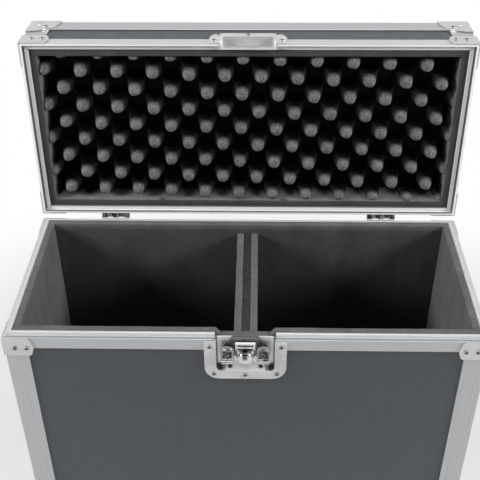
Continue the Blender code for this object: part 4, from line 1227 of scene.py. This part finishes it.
# Floor, world and lamps
def mixed(tree, share, first, second):
    """One surface going over to another as the share goes from 0 to 1."""
    blend = tree.nodes.new("ShaderNodeMixShader")
    tree.links.new(share, blend.inputs["Fac"])
    tree.links.new(first, blend.inputs[1])
    tree.links.new(second, blend.inputs[2])
    return blend.outputs["Shader"]


def white_light(node, strength):
    """A shader node made to give white light."""
    node.inputs["Color"].default_value = (1, 1, 1, 1)
    node.inputs["Strength"].default_value = strength
    return node


# The floor is shaded near the case and goes over to pure white away from it
white_near, white_far = 0.38, 1.0
mirrored_white = 0.72
clear_selection()
bpy.ops.mesh.primitive_plane_add(size=12, location=(0, 0, ground))
floor = bpy.context.active_object
floor.name = "floor"
floor_finish, tree, matt = new_material("pale_floor", grey(0.80), 0.8)
glow = white_light(tree.nodes.new("ShaderNodeEmission"), 1.0)
floor_place = tree.nodes.new("ShaderNodeTexCoord")
away = tree.nodes.new("ShaderNodeVectorMath")
away.operation = "LENGTH"
tree.links.new(floor_place.outputs["Object"], away.inputs[0])
white = mapped(tree, away.outputs["Value"], 0.34, 0.80, white_near, white_far, smooth=True)
rays = tree.nodes.new("ShaderNodeLightPath").outputs
in_mirrors = combined(tree, "MULTIPLY", rays["Is Glossy Ray"], mirrored_white)
seen_white = every(tree, either(tree, rays["Is Camera Ray"], in_mirrors), white)
surface = mixed(tree, seen_white, matt.outputs["BSDF"], glow.outputs["Emission"])
tree.links.new(surface, tree.nodes["Material Output"].inputs["Surface"])
floor.data.materials.append(floor_finish)
bpy.ops.object.transform_apply(location=True)

# The world is white to the camera, dim as a light, and a room with a dark end in mirrors
world = bpy.data.worlds.new("studio")
bpy.context.scene.world = world
world.use_nodes = True
sky = world.node_tree
sky_light = white_light(sky.nodes["Background"], 0.05)
backdrop = white_light(sky.nodes.new("ShaderNodeBackground"), 1.0)
room = white_light(sky.nodes.new("ShaderNodeBackground"), 1.0)
facing = sky.nodes.new("ShaderNodeTexCoord")
towards = sky.nodes.new("ShaderNodeVectorMath")
towards.operation = "DOT_PRODUCT"
towards.inputs[1].default_value = (0.0, -0.90, 0.43)
sky.links.new(facing.outputs["Generated"], towards.inputs[0])
dark_end = mapped(sky, towards.outputs["Value"], 0.50, 0.85, 0.95, 0.10, smooth=True)
sky.links.new(dark_end, room.inputs["Strength"])
rays = sky.nodes.new("ShaderNodeLightPath").outputs
lit = mixed(
    sky, rays["Is Glossy Ray"], sky_light.outputs["Background"], room.outputs["Background"]
)
seen = mixed(sky, rays["Is Camera Ray"], lit, backdrop.outputs["Background"])
sky.links.new(seen, sky.nodes["World Output"].inputs["Surface"])

lamp_target = Vector((0, 0, 0.35))
lamps = (
    ("left_softbox", (-1.75, -0.55, 1.30), (0.45, 0.60), 33),
    ("right_softbox", (1.75, -0.55, 1.30), (0.45, 0.60), 33),
    ("top_softbox", (0.0, -0.35, 2.3), (1.2, 0.8), 9),
)
for name, place, size, power in lamps:
    light = bpy.data.lights.new(name, "AREA")
    light.shape = "RECTANGLE"
    light.size, light.size_y = size
    light.energy = power
    rig = bpy.data.objects.new(name, light)
    bpy.context.scene.collection.objects.link(rig)
    rig.location = place
    rig.rotation_mode = "QUATERNION"
    rig.rotation_quaternion = (lamp_target - Vector(place)).to_track_quat("-Z", "Y")

for model in (rivet, screw):
    bpy.data.objects.remove(model)

bpy.context.scene.view_settings.view_transform = "Standard"
